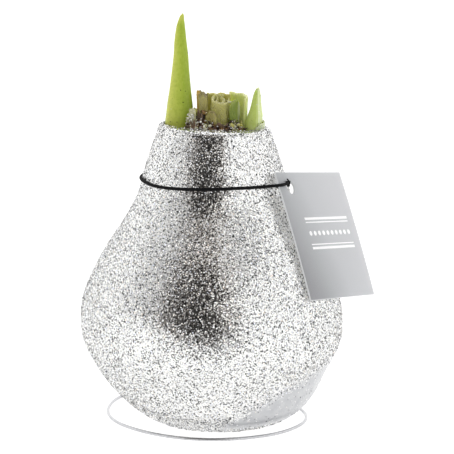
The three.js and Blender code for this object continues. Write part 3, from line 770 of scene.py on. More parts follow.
def drawn_wire():
    """Bright galvanised steel wire: metal with faint draw lines along it and a mottled zinc tone."""
    material, tree = new_material("galvanised_steel_wire")
    lines = add(tree, "TexNoise", {"Vector": mapped(tree, 1 / 30, 12), "Detail": 2.0})
    zinc = add(tree, "TexNoise", {"Vector": scaled(tree, 2.5), "Detail": 2.0})
    tone = add(tree, "ValToRGB", [zinc], stops=[(0.3, "#b0b1b4"), (0.7, "#d2d2d4")])
    rough = add(tree, "MapRange", {"Value": lines, "To Min": 0.1, "To Max": 0.25})
    return finish(material, Base_Color=tone, Roughness=rough, Metallic=1.0)


def braided_elastic(colour):
    """Elastic cord in a braid of black polyester yarn: matt, lighter on the crest of each strand, a painted
    highlight, and darker between strands, painted shade.
    """
    material, tree = new_material("braided_elastic")
    strand = add(tree, "Attribute", out="Fac", attribute_name="strand")
    fuzz = add(tree, "TexNoise", {"Vector": scaled(tree, 0.12), "Detail": 2.0})
    # Painted light: lighter on each strand's crest, a painted highlight, and darker between strands, painted
    # shade.
    tone = layered(tree, "#030304", (strand, (), colour), (fuzz, [(0.45, 0), (0.75, 0.4)], "#161618"))
    return finish(material, Base_Color=tone, Roughness=0.8, Specular_IOR_Level=0.15)


PAINTED_CARD_GLOW = 0.3  # painted glow on the card's back, standing in for light that comes through the card


def satin_card(colour, edge_colour):
    """Silver-grey coated card, satin, printed with a plain white band of rules and dots: paper
    fibres under the coating, a pale board behind and darker grey cut edges. Over the face runs a
    painted sheen, darker to the lower left; the back has a painted glow, for light that comes
    through the card."""
    material, tree = new_material("silver_coated_card")
    across = add(tree, "SeparateXYZ", [add(tree, "UVMap", uv_map="surface")], out=None)
    edge, front = (add(tree, "Attribute", out="Fac", attribute_name=key) for key in ("edge", "front"))
    fibres = add(tree, "TexNoise", {"Vector": scaled(tree, 0.6), "Detail": 4.0})
    # Painted sheen: the face darkens along a slant towards its lower left.
    slant = add(tree, "Math MULTIPLY_ADD", [across["X"], 3.1, across["Y"]])
    fade = add(tree, "MapRange", {"Value": slant, "From Min": -75, "From Max": 52})
    base = add(tree, "ValToRGB", [fade], stops=[
        (0.0, "#7c7d80"), (0.33, "#9b9da0"), (0.58, "#a9abae"), (1.0, colour)])
    paper = layered(tree, base, (fibres, [(0.4, 0), (0.8, 0.12)], "#f0f0f2"))
    ink = printed_band(tree, across, front)
    tone = layered(tree, "#c0c0bf", (front, (), paper), (ink, (), "#f6f6f8"), (edge, (), edge_colour))
    # Painted glow: the back of the card shines on its own, as if lit through the card.
    through = add(tree, "Math MULTIPLY_ADD", [front, -PAINTED_CARD_GLOW, PAINTED_CARD_GLOW])
    rough = add(tree, "MapRange", {"Value": fibres, "To Min": 0.34, "To Max": 0.5})
    bump = add(tree, "Bump", {"Height": fibres, "Strength": 0.15, "Distance": 0.05 * MM})
    return finish(material, Base_Color=tone, Roughness=rough, Normal=bump, Coat_Weight=0.15,
                  Coat_Roughness=0.3, Subsurface_Weight=0.6, Subsurface_Scale=3 * MM,
                  Subsurface_Radius=(1, 1, 1), Emission_Color="#ffffff", Emission_Strength=through)


PRINT_WIDTH = 27  # the printed band, in the card's own millimetres
PRINT_AT = (2.5, 0.5)
RULES = [(5.2, 0.45), (-5.2, 0.45), (3.9, 0.2), (-3.9, 0.2)]  # height in the band, half thickness
DOT_SPACING = 2.7
DOT_RADIUS = 0.85


def printed_band(tree, across, front):
    """1 where the print is: four rules and a row of round dots between them, inside a width."""
    x, y = (add(tree, "Math SUBTRACT", [across[way], start]) for way, start in zip("XY", PRINT_AT))
    inside = add(tree, "Math LESS_THAN", [add(tree, "Math ABSOLUTE", [x]), PRINT_WIDTH / 2])
    part = add(tree, "Math FLOORED_MODULO", [x, DOT_SPACING])
    ink = add(tree, "Math LESS_THAN", [
        far_from(tree, add(tree, "Math SUBTRACT", [part, DOT_SPACING / 2]), y), DOT_RADIUS])
    for height, half in RULES:
        away = add(tree, "Math ABSOLUTE", [add(tree, "Math SUBTRACT", [y, height])])
        ink = add(tree, "Math MAXIMUM", [ink, add(tree, "Math LESS_THAN", [away, half])])
    return add(tree, "Math MULTIPLY", [add(tree, "Math MULTIPLY", [ink, inside]), front])


def far_from(tree, x, y):
    """The square root of x^2 + y^2."""
    both = add(tree, "Math MULTIPLY_ADD", [x, x, add(tree, "Math MULTIPLY", [y, y])])
    return add(tree, "Math SQRT", [both])


# ---------------------------------------------------------------- settings


def colour_setting(name, description, default):
    """A colour property, from a default in sRGB hex."""
    return FloatVectorProperty(name=name, description=description, default=linear(default),
                               subtype="COLOR", size=4, min=0, max=1)


def length_setting(name, description, default):
    """A length property, kept in metres, from a default in millimetres."""
    return FloatProperty(name=name, description=description, default=default * MM, min=0, max=1,
                         precision=5, subtype="DISTANCE", unit="LENGTH")


class AmaryllisGlitter(bpy.types.PropertyGroup):
    """The wax coat and the glitter on it."""

    wax_colour: colour_setting("Wax colour", "Colour of the silver wax under the glitter", "#c3c4c5")
    bright: colour_setting("Bright flakes", "Colour of most of the flakes", "#f6f6f7")
    # Painted shade: the dark flakes stand in for flakes that mirror something dark.
    dull_and_shaded: colour_setting("Dull flakes", "Colour of the scuffed flakes", "#2c2d30")
    across: length_setting("Flake size", "Width of a flake across its corners", 0.5)
    tilt: FloatProperty(name="Flake tilt", description="Usual angle between a flake and the wax",
                        default=math.radians(17), min=0, max=1, subtype="ANGLE", unit="ROTATION")
    count: IntProperty(name="Flakes", description="Flakes that would cover the whole coat", default=70000,
                       min=1000, max=100000)


class AmaryllisPlant(bpy.types.PropertyGroup):
    """The shoots and cut leaves."""

    shoot: colour_setting("Shoot", "Green of the shoots", "#9ab132")
    shoot_margin: colour_setting("Margin", "Yellow-green of the shoots' margins and tips", "#cbcc66")
    shoot_foot: colour_setting("Foot", "Green of the shoots near the neck", "#adc140")
    # Painted shade: the darker green painted on the tall shoot's outer side, low down.
    shoot_painted_shade: colour_setting("Shaded side", "Darker green of the outer side", "#80971e")
    cut_olive: colour_setting("Cut leaves", "Olive flesh of the cut leaves", "#b0aa4a")
    tunic: colour_setting("Dry skin", "Brown of the papery skin", "#54402f")


class AmaryllisTrim(bpy.types.PropertyGroup):
    """The wire stand, the cord and the tag."""

    wire: length_setting("Wire", "Thickness of the wire", WIRE)
    cord: length_setting("Cord", "Thickness of the elastic cord", CORD)
    cord_colour: colour_setting("Cord colour", "Colour of the yarn", "#0b0b0d")
    card: colour_setting("Card", "Colour of the tag", "#adaeb1")
    card_edge: colour_setting("Card edge", "Colour of the tag's cut edges", "#8f9093")


class AmaryllisStudio(bpy.types.PropertyGroup):
    """The studio round the object."""

    floor: colour_setting("Floor", "Colour of the floor", "#a2a2a2")
    sky: FloatProperty(name="Tent", description="Brightness of the white tent", default=1.28, min=0, max=5)
    gap: FloatProperty(name="Gap", description="Brightness of the tent's opening, where the camera is",
                       default=0.01, min=0, max=1)


# ---------------------------------------------------------------- pieces

COAT_STEP = 0.8  # height of a row of faces
COAT_COLUMNS = 190
INNER_STEP = 2.5  # the same, inside


class AMARYLLIS_OT_wax_coat(bpy.types.Operator):
    """Pours the shell of silver wax round the bulb"""

    bl_idname = "amaryllis.wax_coat"
    bl_label = "Wax coat"

    def execute(self, context):
        settings = context.scene.amaryllis_glitter
        make_piece("silver_wax_coat", coat_body(), silver_wax(settings.wax_colour[:]),
                   replaces=["wax_coat"])
        return {"FINISHED"}


def coat_body():
    """The shell: the coat's line turned round Z, outside and then inside, with dips from hand
    pouring."""
    inner = np.vstack([smooth_line(LIP_UNDER, np.linspace(0, 1, 10)), outline(WAX)[1:][::-1],
                       [(0.5, BASE_Z + WAX)]])
    line = np.vstack([coat_line(COAT_STEP)[1:], even_steps(inner, INNER_STEP)])
    angles = np.arange(COAT_COLUMNS) / COAT_COLUMNS * TAU
    points = as_poured(around(line, angles))
    return skin(points, dusted=glitter_cover(angles, points[..., 2]))


GLITTER_BATCHES = ["foot", "belly", "flank", "shoulder", "neck"]


class AMARYLLIS_OT_glitter(bpy.types.Operator):
    """Dusts the wet wax with hexagonal glitter, one piece for each height of the bulb"""

    bl_idname = "amaryllis.glitter"
    bl_label = "Glitter"

    def execute(self, context):
        settings = context.scene.amaryllis_glitter
        material = glitter_flake(settings.bright[:], settings.dull_and_shaded[:])
        draw = np.random.default_rng(11)
        bounds = np.linspace(0, settings.count, len(GLITTER_BATCHES) + 1).astype(int)
        for part, first, last in zip(GLITTER_BATCHES, bounds[:-1], bounds[1:]):
            spot, out, angle, height = coat_spots(first, last, settings.count, draw)
            kept = draw.uniform(0, 1, len(spot)) < glitter_cover(angle, height)
            body = flakes(spot[kept], out[kept], settings.across / MM, settings.tilt, draw)
            make_piece(f"glitter_{part}", body, material, smooth=False, uv_name="OFBake")
        return {"FINISHED"}


STUCK_UP = 0.3  # share of the flakes that stand off the wax
LOOSE_TILT = (2.0, 0.5)  # how far those lean, and how far the others, as a share of the tilt
FLAKE_SIZES = (0.72, 1.12)  # from the smallest to the largest, as a share of the size
FLAKE_PROUD = (0.01, 0.09)
FLAKE_POINT = 0.45  # depth of the point under a flake, as a share of half its size
CELL_SHARE = 0.42  # radius of a flake in its cell of the map


def flakes(at, out, across, tilt, draw):
    """Glitter flakes: flat hexagons, leaning at random from the surface by about tilt, each on a
    shallow point that sinks into the wax. In the map each has a cell of its own."""
    count = len(at)
    any_side = unit(np.cross(out, (0.31, 0.52, 0.79)))
    other = np.cross(out, any_side)
    loose = np.where(draw.uniform(0, 1, (count, 1)) < STUCK_UP, *LOOSE_TILT)
    lean = np.tan(np.clip(draw.normal(0, tilt, (count, 2)) * loose, -1, 1))
    face = unit(out + lean[:, :1] * any_side + lean[:, 1:] * other)
    first = unit(np.cross(face, any_side))
    second = np.cross(face, first)
    sixths = np.arange(6) / 6 * TAU
    angle = draw.uniform(0, TAU, (count, 1)) + sixths
    radius = across / 2 * draw.uniform(*FLAKE_SIZES, (count, 1))
    proud = draw.uniform(*FLAKE_PROUD, (count, 1))
    rim = (at + proud * out)[:, None] + first[:, None] * (radius * np.cos(angle))[..., None]
    rim = rim + second[:, None] * (radius * np.sin(angle))[..., None]
    tip = at + proud * out - FLAKE_POINT * radius * face
    start = 7 * np.arange(count)[:, None]
    quads = np.concatenate([start + corners for corners in ([0, 1, 2, 3], [0, 3, 4, 5])])
    tris = np.concatenate([start + [(k + 1) % 6, k, 6] for k in range(6)])
    wide = math.ceil(math.sqrt(count))
    cell = np.stack([np.arange(count) % wide, np.arange(count) // wide], 1) + 0.5
    hexagon = CELL_SHARE * np.stack([np.cos(sixths), np.sin(sixths)], 1)
    spots = np.concatenate([cell[:, None] + hexagon, cell[:, None]], 1).reshape(-1, 2) / wide
    tint = np.repeat(draw.uniform(0, 1, count), 7)
    points = np.concatenate([rim, tip[:, None]], 1).reshape(-1, 3)
    return {"points": points, "quads": quads, "tris": tris, "quad_uv": spots[quads],
            "tri_uv": spots[tris], "values": {"tint": tint}}


NECK_RINGS = [12.0, 6.9]  # radii of the grooves between old scales on the cut
SCALE_SPACE = 1.9  # between one old scale and the next
CUT_RADIUS = 16.2
BULB_STEP = 2.5
BULB_COLUMNS = 120


class AMARYLLIS_OT_bulb(bpy.types.Operator):
    """Makes the bulb itself, which shows at its cut neck"""

    bl_idname = "amaryllis.bulb"
    bl_label = "Bulb"

    def execute(self, context):
        make_piece("amaryllis_bulb", bulb_body(), bulb_flesh(), replaces=["bulb"])
        return {"FINISHED"}


def bulb_body():
    """The outline taken in by the wax, with a rough cut top: rings of scale edges, the cosine of
    one turn for each space between scales, and a random field over them."""
    flank = even_steps(outline(WAX + GAP), BULB_STEP)
    flank[0, 1] = BASE_Z + WAX + GAP
    top = np.linspace(1, 0.004, 44) * CUT_RADIUS
    cut = np.stack([top, np.full(len(top), NECK_TOP - 0.1)], 1)
    line = np.vstack([[(0.5, flank[0, 1])], flank[flank[:, 1] < 99.0], [(17.2, 99.3)], cut])
    points = around(line, np.arange(BULB_COLUMNS) / BULB_COLUMNS * TAU)
    x, y, z = np.moveaxis(points, -1, 0)
    radius = np.hypot(x, y)
    field = ripple(21, x / 0.8, y / 0.8, waves=12)
    relief = 0.35 * np.cos(TAU * radius / SCALE_SPACE + 0.8 * ripple(22, x / 3, y / 3)) + 0.5 * field
    for ring in NECK_RINGS:
        relief = relief - 0.7 * np.exp(-((radius - ring) / 0.5) ** 2)
    points[..., 2] += np.where(z > NECK_TOP - 0.2, relief * ease(0, 2, radius) * 0.8, 0)
    return skin(grow(points))


SHOOT_COLUMNS = 56
SHOOT_ROWS = 110
TIP_ROWS = 14
TWIST = 28  # how far a shoot's seam turns on its way up, in degrees
SEAM_STEP = 0.05  # height of the step at the seam, as a share of half the width


class AMARYLLIS_OT_shoots(bpy.types.Operator):
    """Grows the tall and the short shoot"""

    bl_idname = "amaryllis.shoots"
    bl_label = "Shoots"

    def execute(self, context):
        plant = context.scene.amaryllis_plant
        colours = [plant.shoot[:], plant.shoot_margin[:], plant.shoot_foot[:], plant.shoot_painted_shade[:]]
        # The short shoot's body, margin and foot, then the colour painted on its outer side low down, paler
        # than its body here.
        pale = ["#aabd4c", "#e2ebbc", "#ecf6b0", "#c0d06c"]
        for name, green in (("tall_shoot", colours), ("short_shoot", pale)):
            make_piece(f"{name}_leaf", shoot_body(**SHOOTS[name]), young_leaf(f"{name}_cuticle", green),
                       replaces=[name])
        return {"FINISHED"}


def shoot_body(y, flat, seam, rows):
    """A leaf rolled on itself: an oval whose reach falls evenly round from one margin to the next,
    which makes a step at the seam, with a shallow groove along its middle."""
    table = np.array(rows, float)
    to_tip = np.linspace(1, 0.001, TIP_ROWS)[1:] ** 2
    stem = np.linspace(table[0, 0], table[-2, 0], SHOOT_ROWS)
    height = np.concatenate([stem, table[-1, 0] - to_tip])
    line = smooth_line(table, np.interp(height, table[:, 0], np.linspace(0, 1, len(table))))
    middle, half = line[:, 1], np.maximum(line[:, 2], 0.02)
    rise = (height / table[-1, 0]).clip(0, 1)
    share = np.arange(SHOOT_COLUMNS) / SHOOT_COLUMNS
    angle = np.radians(seam - TWIST * rise[:, None]) + share * TAU
    wrap = 1.02 - SEAM_STEP * share - 0.03 * np.exp(-((share / 0.02) ** 2))
    groove = 0.02 * np.exp(-(((share - 0.45) / 0.05) ** 2))
    reach = wrap - groove * (1 - rise[:, None])
    x = middle[:, None] + half[:, None] * reach * np.cos(angle)
    deep = y + half[:, None] * flat * reach * np.sin(angle)
    z = SEAT + neck_tilt(table[0, 1], SEAT) + height[:, None] + 0 * x
    turn = np.broadcast_to(share, x.shape)
    return skin(np.stack([x, deep, z], -1), rise=rise[:, None], turn=turn)


WALL_STEP = 0.2  # spacing of a cut leaf's columns of faces along its arc
WALL_FOOT = 0.9  # how far a cut leaf goes down between the scales of the neck
RIM_FROM = 0.97  # share of its height at which its rim starts to round over
SKIN_SHARE = 0.45  # thickness of a dry skin, as a share of the table's
FIBRE_SPACE = 0.75
FIBRE_HIGH = 0.05


class AMARYLLIS_OT_cut_leaves(bpy.types.Operator):
    """Sets the cut leaves and dry skins on the neck"""

    bl_idname = "amaryllis.cut_leaves"
    bl_label = "Cut leaves"

    def execute(self, context):
        plant = context.scene.amaryllis_plant
        finishes = leaf_finishes(plant.cut_olive[:], plant.tunic[:])
        for number, (name, leaf) in enumerate(LEAF_BASES.items()):
            papery = leaf["finish"] == "dry_tunic"
            body = leaf_body(seed=number, papery=papery, **{k: v for k, v in leaf.items() if k != "finish"})
            make_piece(f"{name}_{'skin' if papery else 'flesh'}", body, finishes[leaf["finish"]],
                       replaces=[name])
        return {"FINISHED"}


def leaf_finishes(olive, tunic):
    """The material of each finish of the cut leaves."""
    return {
        # Dark creases on the core and the stump are painted shade; pale ones on the fresh leaf and the waxed
        # scale are painted highlights.
        "cut_leaf_olive": cut_leaf("cut_leaf_olive", olive, "#dcd888", "#5a4626"),
        "cut_leaf_core": cut_leaf("cut_leaf_core", "#c2be66", "#eae8a2", "#5a4626", 0.45, crease="#403a1c"),
        "cut_leaf_bright": cut_leaf("cut_leaf_fresh", "#cddc7c", "#e4eaac", "#7c8a40", 0.2, fresh=0.6,
                                    crease="#fdfc9c"),
        "cut_leaf_dark": cut_leaf("cut_leaf_green", "#667a1a", "#98a44a", "#3c4420", 0.2,
                                  edge_tone="#ccd0b0", edge_shift=0.5),
        "stump_amber": cut_leaf("cut_stump_amber", "#bcb56c", "#8b8558", "#6b4c22", 0.36,
                                edge_tone="#b08f3a", crease="#5e5228"),
        "dry_tunic": dry_skin("papery_tunic", tunic, "#8d7350"),
        "waxed_scale": cut_leaf("waxed_scale", "#989562", "#d0cfae", "#5a5232", 0.6, fresh=0.4,
                                crease="#dedec6"),
        "sheath_pale": cut_leaf("pale_sheath", "#c6d2a4", "#e6ecd6", "#a7ad78", 0.1),
    }


def leaf_body(at, radius, thick, arc, heights, seed, roll=0.0, lean=0.0, torn=0.0, papery=False, rows=15):
    """A wall along an arc, cut off at its top. Round the wall a closed line goes up the outside,
    over a rounded rim and down the inside. The reach at share u of the arc, side s and height
    share h is radius + roll u + s thickness / 2 + lean h^2, with fibres, cos of the way along the
    arc, and random fields on it, each so high and so many millimetres wide. The height is the
    table's, eased, with jags."""
    start, end = np.radians(arc)
    length = radius * (end - start)
    u = np.linspace(0, 1, max(rows, round(length / WALL_STEP)))[:, None]
    climb = np.linspace(0, 1, rows)
    over = np.linspace(0, math.pi, 7)[1:-1]
    side = np.concatenate([np.ones(rows), np.cos(over), -np.ones(rows)])
    rim = RIM_FROM + (1 - RIM_FROM) * np.sin(over)
    rise = np.concatenate([RIM_FROM * climb, rim, RIM_FROM * climb[::-1]])
    half = (SKIN_SHARE if papery else 1.0) * thick / 2 * (1 - 0.55 * (2 * u - 1) ** 6) * (1 - 0.18 * rise)
    half = half * (1 + 0.25 * ripple(seed, 3 * TAU * u, 4 * rise))
    angle = start + (end - start) * u + 0 * rise
    along = length * u

    def rough(high, number, wide, *others, waves=6):
        return high * ripple(seed + number, along / wide, *others, waves=waves)

    wave = rough(0.45 if papery else 0.2, 40, 0.9, 5 * rise, waves=8) * (0.3 + 0.7 * rise)
    fibre = FIBRE_HIGH * np.cos(TAU * along / FIBRE_SPACE + rough(2, 80, 2, 3 * rise))
    bumps = rough(0.16, 200, 0.5, 9 * rise, side, waves=14) * ease(0, 0.2, rise)
    bumps = bumps + rough(0.35, 220, 1.6, 3 * rise, waves=8) * ease(0, 0.4, rise)
    curl = rough(0.5, 240, 0.8) * ease(0.75, 1, rise)
    reach = radius + roll * u + side * (half + fibre) + lean * rise**2 + wave + bumps + curl
    jag = rough(0.6 * torn, 110, 0.5) + rough(0.3 * torn, 120, 0.2, waves=8)
    (height,) = read_rows([(i / (len(heights) - 1), h) for i, h in enumerate(heights)], u)
    full = height + jag * rise + rough(0.12 * side, 160, 0.6) * rise
    x, y = at[0] + reach * np.cos(angle), at[1] + reach * np.sin(angle)
    z = SEAT + neck_tilt(x, SEAT) - WALL_FOOT + rise * (full + WALL_FOOT)
    uv = np.stack(np.broadcast_arrays(along + 9 * seed, np.append(rise * 10, 0)), -1)
    return skin(np.stack([x, y, z], -1), uv, rim=ease(0.9, 0.99, rise) + 0 * u, rise=rise + 0 * u,
                turn=angle / TAU)


# What lies on the neck, in heaps: angle and distance from CORE_AT, height at the near and the far
# side, how many there are, and from and to which kind.
CORE_AT = (1.5, -0.5)
SUNK = 0.35  # the lowest lie at this share of the height
SKIN_SEED = 300
LEAF_SEED = 400
SKIN_BITS = [
    ((200, 236), (5.6, 10.6), (7.4, 3.4), 12, (0, 1)), ((236, 300), (7.0, 10.6), (3.8, 2.2), 10, (0, 1)),
    ((30, 190), (5.5, 11.5), (4.6, 2.0), 26, (0, 1)),
]
LEAF_BITS = [
    ((292, 345), (7.2, 10.4), (4.6, 2.2), 14, (0, 1)), ((222, 250), (4.4, 6.4), (9.0, 6.6), 5, (0, 1)),
    ((20, 150), (4.0, 8.0), (8.0, 4.0), 12, (0, 1)),
]
CORE_BITS = [
    ((30, 52), (4.4, 5.4), (12.6, 11.4), 5, (0, 1)), ((110, 170), (3.0, 5.0), (12.4, 10.4), 6, (0, 1)),
]
SCRAPS = [
    ((198, 240), (5.4, 11.2), (7.2, 2.2), 190, (0, 0.66)),
    ((198, 220), (8.0, 11.4), (5.0, 1.6), 40, (0.6, 1)),
    ((236, 300), (7.0, 11.0), (4.2, 1.2), 110, (0, 0.6)),
    ((236, 262), (6.4, 8.6), (7.0, 4.0), 24, (0.66, 0.9)),
    ((296, 336), (7.4, 10.6), (4.6, 1.2), 60, (0.1, 0.8)),
    ((20, 190), (6.5, 11.8), (4.5, 1.2), 120, (0, 0.9)),
]
WAX_DROPS = [
    ((201, 218), (9.4, 11.4), (7.8, 4.4), 110, (0.1, 1)), ((290, 332), (7.6, 10.8), (4.8, 1.2), 60, (0, 0.6)),
    ((236, 262), (8.4, 10.8), (5.0, 1.6), 16, (0, 0.6)), ((314, 330), (5.2, 6.4), (11.4, 10.6), 12, (0.3, 1)),
    ((216, 252), (9.6, 11.6), (4.2, 1.0), 60, (0.3, 1)),
]


def heaps(rows, draw):
    """Places, headings, heights and kinds of what lies in heaps, drawn evenly in each row's limits."""
    for turn, far, tall, count, kinds in rows:
        for _ in range(count):
            angle, share = math.radians(draw.uniform(*turn)), draw.uniform()
            reach = far[0] + share * (far[1] - far[0])
            at = (CORE_AT[0] + reach * math.cos(angle), CORE_AT[1] + reach * math.sin(angle))
            top = tall[0] + share * (tall[1] - tall[0])
            yield at, math.degrees(angle), top * draw.uniform(SUNK, 1), draw.uniform(*kinds)


def torn_bits(rows, seed):
    """Torn bits of leaf or skin, each a short curved wall that faces any way, as one body."""
    draw = np.random.default_rng(seed)
    made = []
    for number, (at, angle, tall, _) in enumerate(heaps(rows, draw)):
        radius = draw.uniform(1.0, 2.4)
        start = angle + draw.uniform(-70, 20)
        heights = tall * draw.uniform(0.55, 1, 4)
        middle = np.subtract(at, turned(radius, 0, angle))
        thick, arc = draw.uniform(0.5, 0.9), (start, start + draw.uniform(50, 90))
        made.append(leaf_body(middle, radius, thick, arc, heights, seed + number,
                              lean=draw.uniform(-0.6, 0.7), torn=0.7, papery=True, rows=9))
    return joined(made)


class AMARYLLIS_OT_torn_bits(bpy.types.Operator):
    """Scatters torn bits of skin and leaf round the cut leaves"""

    bl_idname = "amaryllis.torn_bits"
    bl_label = "Torn bits"

    def execute(self, context):
        plant = context.scene.amaryllis_plant
        brown = dry_skin("dark_tunic", "#33211c", "#6b4c36")
        olive = cut_leaf("torn_leaf", plant.cut_olive[:], "#d9d69a", "#3f3320", 0.75)
        make_piece("torn_skin_bits", torn_bits(SKIN_BITS, SKIN_SEED), brown)
        make_piece("torn_leaf_bits", torn_bits(LEAF_BITS + CORE_BITS, LEAF_SEED), olive)
        return {"FINISHED"}


class AMARYLLIS_OT_wax_drops(bpy.types.Operator):
    """Drips clear wax on the cut leaves"""

    bl_idname = "amaryllis.wax_drops"
    bl_label = "Wax drops"

    def execute(self, context):
        drops = lumps(WAX_DROPS, (0.22, 0.55), (1, 0.9, 0.8), 52)
        make_piece("clear_wax_drops", drops, clear_wax())
        return {"FINISHED"}


class AMARYLLIS_OT_dead_scraps(bpy.types.Operator):
    """Heaps scraps of dead skin between the shoots and the cut leaves"""

    bl_idname = "amaryllis.dead_scraps"
    bl_label = "Dead scraps"

    def execute(self, context):
        make_piece("dead_scraps", scraps(), dead_scraps())
        return {"FINISHED"}


def scraps():
    """The scraps of dead skin, flat and up to 2.5 mm across."""
    return lumps(SCRAPS, (0.45, 1.25), (1, 0.6, 0.16), 61)


LUMP_ROWS = 6
LUMP_COLUMNS = 9
LUMP_END = 78  # latitude of a lump's end rows, in degrees
UNEVEN = 0.35  # height of the random field, as a share of a lump's size
BENT = 0.35  # how far a lump's end is bent, over the square of its length


def lumps(rows, sizes, form, seed):
    """Small uneven bodies in heaps, as one. Each is a ball stretched by its form along three
    directions at random, bent by the square of its length and uneven by a random field."""
    draw = np.random.default_rng(seed)
    rise = np.radians(np.linspace(-LUMP_END, LUMP_END, LUMP_ROWS))[:, None]
    turn = np.arange(LUMP_COLUMNS) / LUMP_COLUMNS * TAU
    ball = np.stack([np.cos(rise) * np.cos(turn), np.cos(rise) * np.sin(turn), np.sin(rise) + 0 * turn], -1)
    made = []
    for number, (at, _, height, kind) in enumerate(heaps(rows, draw)):
        uneven = 1 + UNEVEN * ripple(seed + number, *np.moveaxis(2.2 * ball, -1, 0))[..., None]
        shape = draw.uniform(*sizes) * uneven * ball * form
        shape[..., 2] += BENT * shape[..., 0] ** 2
        ways = np.linalg.qr(draw.normal(0, 1, (3, 3)))[0]
        middle = (*at, SEAT + neck_tilt(at[0], SEAT) + height)
        made.append(skin(shape @ ways + middle, kind=kind))
    return joined(made)


CROWN_FLAKES = 1100
CROWN_TILT = 0.6  # usual angle of one from what it lies on, in radians


class AMARYLLIS_OT_crown_glitter(bpy.types.Operator):
    """Drops stray glitter on the torn bits and the foot of the shoots"""

    bl_idname = "amaryllis.crown_glitter"
    bl_label = "Crown glitter"

    def execute(self, context):
        settings = context.scene.amaryllis_glitter
        draw = np.random.default_rng(71)
        shoots = [low_points(shoot_body(**row)["points"], draw) for row in SHOOTS.values()]
        places = np.vstack([scraps()["points"], torn_bits(LEAF_BITS, LEAF_SEED)["points"], *shoots])
        spot = places[draw.integers(len(places), size=CROWN_FLAKES)]
        out = unit(spot - (*CORE_AT, SEAT - 4))
        body = flakes(spot + 0.1 * out, out, settings.across / MM, CROWN_TILT, draw)
        make_piece("crown_glitter", body, glitter_flake(settings.bright[:], settings.dull_and_shaded[:]),
                   smooth=False, uv_name="OFBake")
        return {"FINISHED"}


def low_points(points, draw):
    """Points of a shoot near its foot, most of them the lowest."""
    return points[points[:, 2] < SEAT + 1 + draw.exponential(6, len(points))]


class AMARYLLIS_OT_wire_stand(bpy.types.Operator):
    """Bends the wire foot and spikes the bulb on it"""

    bl_idname = "amaryllis.wire_stand"
    bl_label = "Wire stand"

    def execute(self, context):
        thickness = context.scene.amaryllis_trim.wire / MM
        make_piece("bent_wire_stand", wire_body(thickness), drawn_wire(),
                   replaces=["wire_stand"])
        return {"FINISHED"}


WIRE_STEP = 0.7
POINT_STEPS = 6  # the steps over which the spike narrows to a point


def wire_body(thickness):
    """A round rod along the ring, the hook, the straight run, a quarter turn and the spike, which
    narrows to a point."""
    middle = thickness / 2
    spike = np.array(PRONG_AT)
    run = spike / np.linalg.norm(spike)
    run_end = spike - run * PRONG_BEND
    ring = [(RING_AT[0] + r * math.cos(math.radians(a)), RING_AT[1] + r * math.sin(math.radians(a)))
            for a, r in RING_TURN]
    flat = route([*ring, *RING_HOOK, run_end])
    turn = np.linspace(0, 1, 12)[1:, None]
    bend = run_end + (1 - (1 - turn) ** 2) * (spike - run_end)
    ground = np.column_stack([flat, np.full(len(flat), middle)])
    rising = np.column_stack([bend, middle + PRONG_BEND * turn[:, 0] ** 2])
    path = even_steps(np.vstack([ground, rising, [(*spike, PRONG_TOP)]]), WIRE_STEP)
    along = np.gradient(path, axis=0)
    upright = np.abs(along[:, 2:]) > 0.5 * np.linalg.norm(along, axis=1, keepdims=True)
    side = np.where(upright, np.cross((*run, 0), (0, 0, 1)), np.cross(along, (0, 0, 1)))
    reach = np.full(len(path), thickness / 2)
    reach[0] *= 0.75
    reach[-POINT_STEPS:] *= np.linspace(0.85, 0.15, POINT_STEPS)
    return tube(path, reach[:, None], side, around=14)


BRAID_PITCH = 1.3
BRAID_RELIEF = 0.07
KNOT_SIZE = (0.42, 0.19, 0.15)  # of 1 in the knot's formula, across, up and out of the card
KNOT_PULL = 0.5  # the knot's and the end's thickness, as a share of the cord's
CORD_STEP = 0.2


class AMARYLLIS_OT_neck_cord(bpy.types.Operator):
    """Ties the elastic cord round the neck and through the tag"""

    bl_idname = "amaryllis.neck_cord"
    bl_label = "Neck cord"

    def execute(self, context):
        trim = context.scene.amaryllis_trim
        make_piece("elastic_cord", cord_body(trim.cord / MM), braided_elastic(trim.cord_colour[:]),
                   replaces=["neck_cord"])
        return {"FINISHED"}


def on_card(points):
    """Card places, across, up and out of its face, carried to where the card hangs: rolled about
    its face, leaned back about the level and turned to its heading."""
    across, up, out = np.moveaxis(np.asarray(points, float), -1, 0)
    x, y = turned(across, up, 90 + CARD_ROLL)
    out, x = turned(out, x, 90 - CARD_LEAN)
    x, y = turned(x, y, CARD_HEADING)
    return np.stack([x, y, out], -1) + CARD_AT


def braided(path, thickness, side, closed):
    """A rod with two sets of strands wound opposite ways: its reach follows the higher of their
    two waves, sin of three times the angle plus and less the way along over the pitch."""
    angle = np.arange(16) / 16 * TAU
    length = np.linalg.norm(np.diff(path, axis=0), axis=1).mean() * len(path)
    share = np.arange(len(path))[:, None] / len(path)
    turns = TAU * share * round(length / BRAID_PITCH)
    strand = np.maximum(np.sin(3 * angle + turns), np.sin(3 * angle - turns)) * 0.5 + 0.5
    reach = thickness / 2 - BRAID_RELIEF * (1 - strand)
    return tube(path, reach, side, closed=closed, strand=strand)


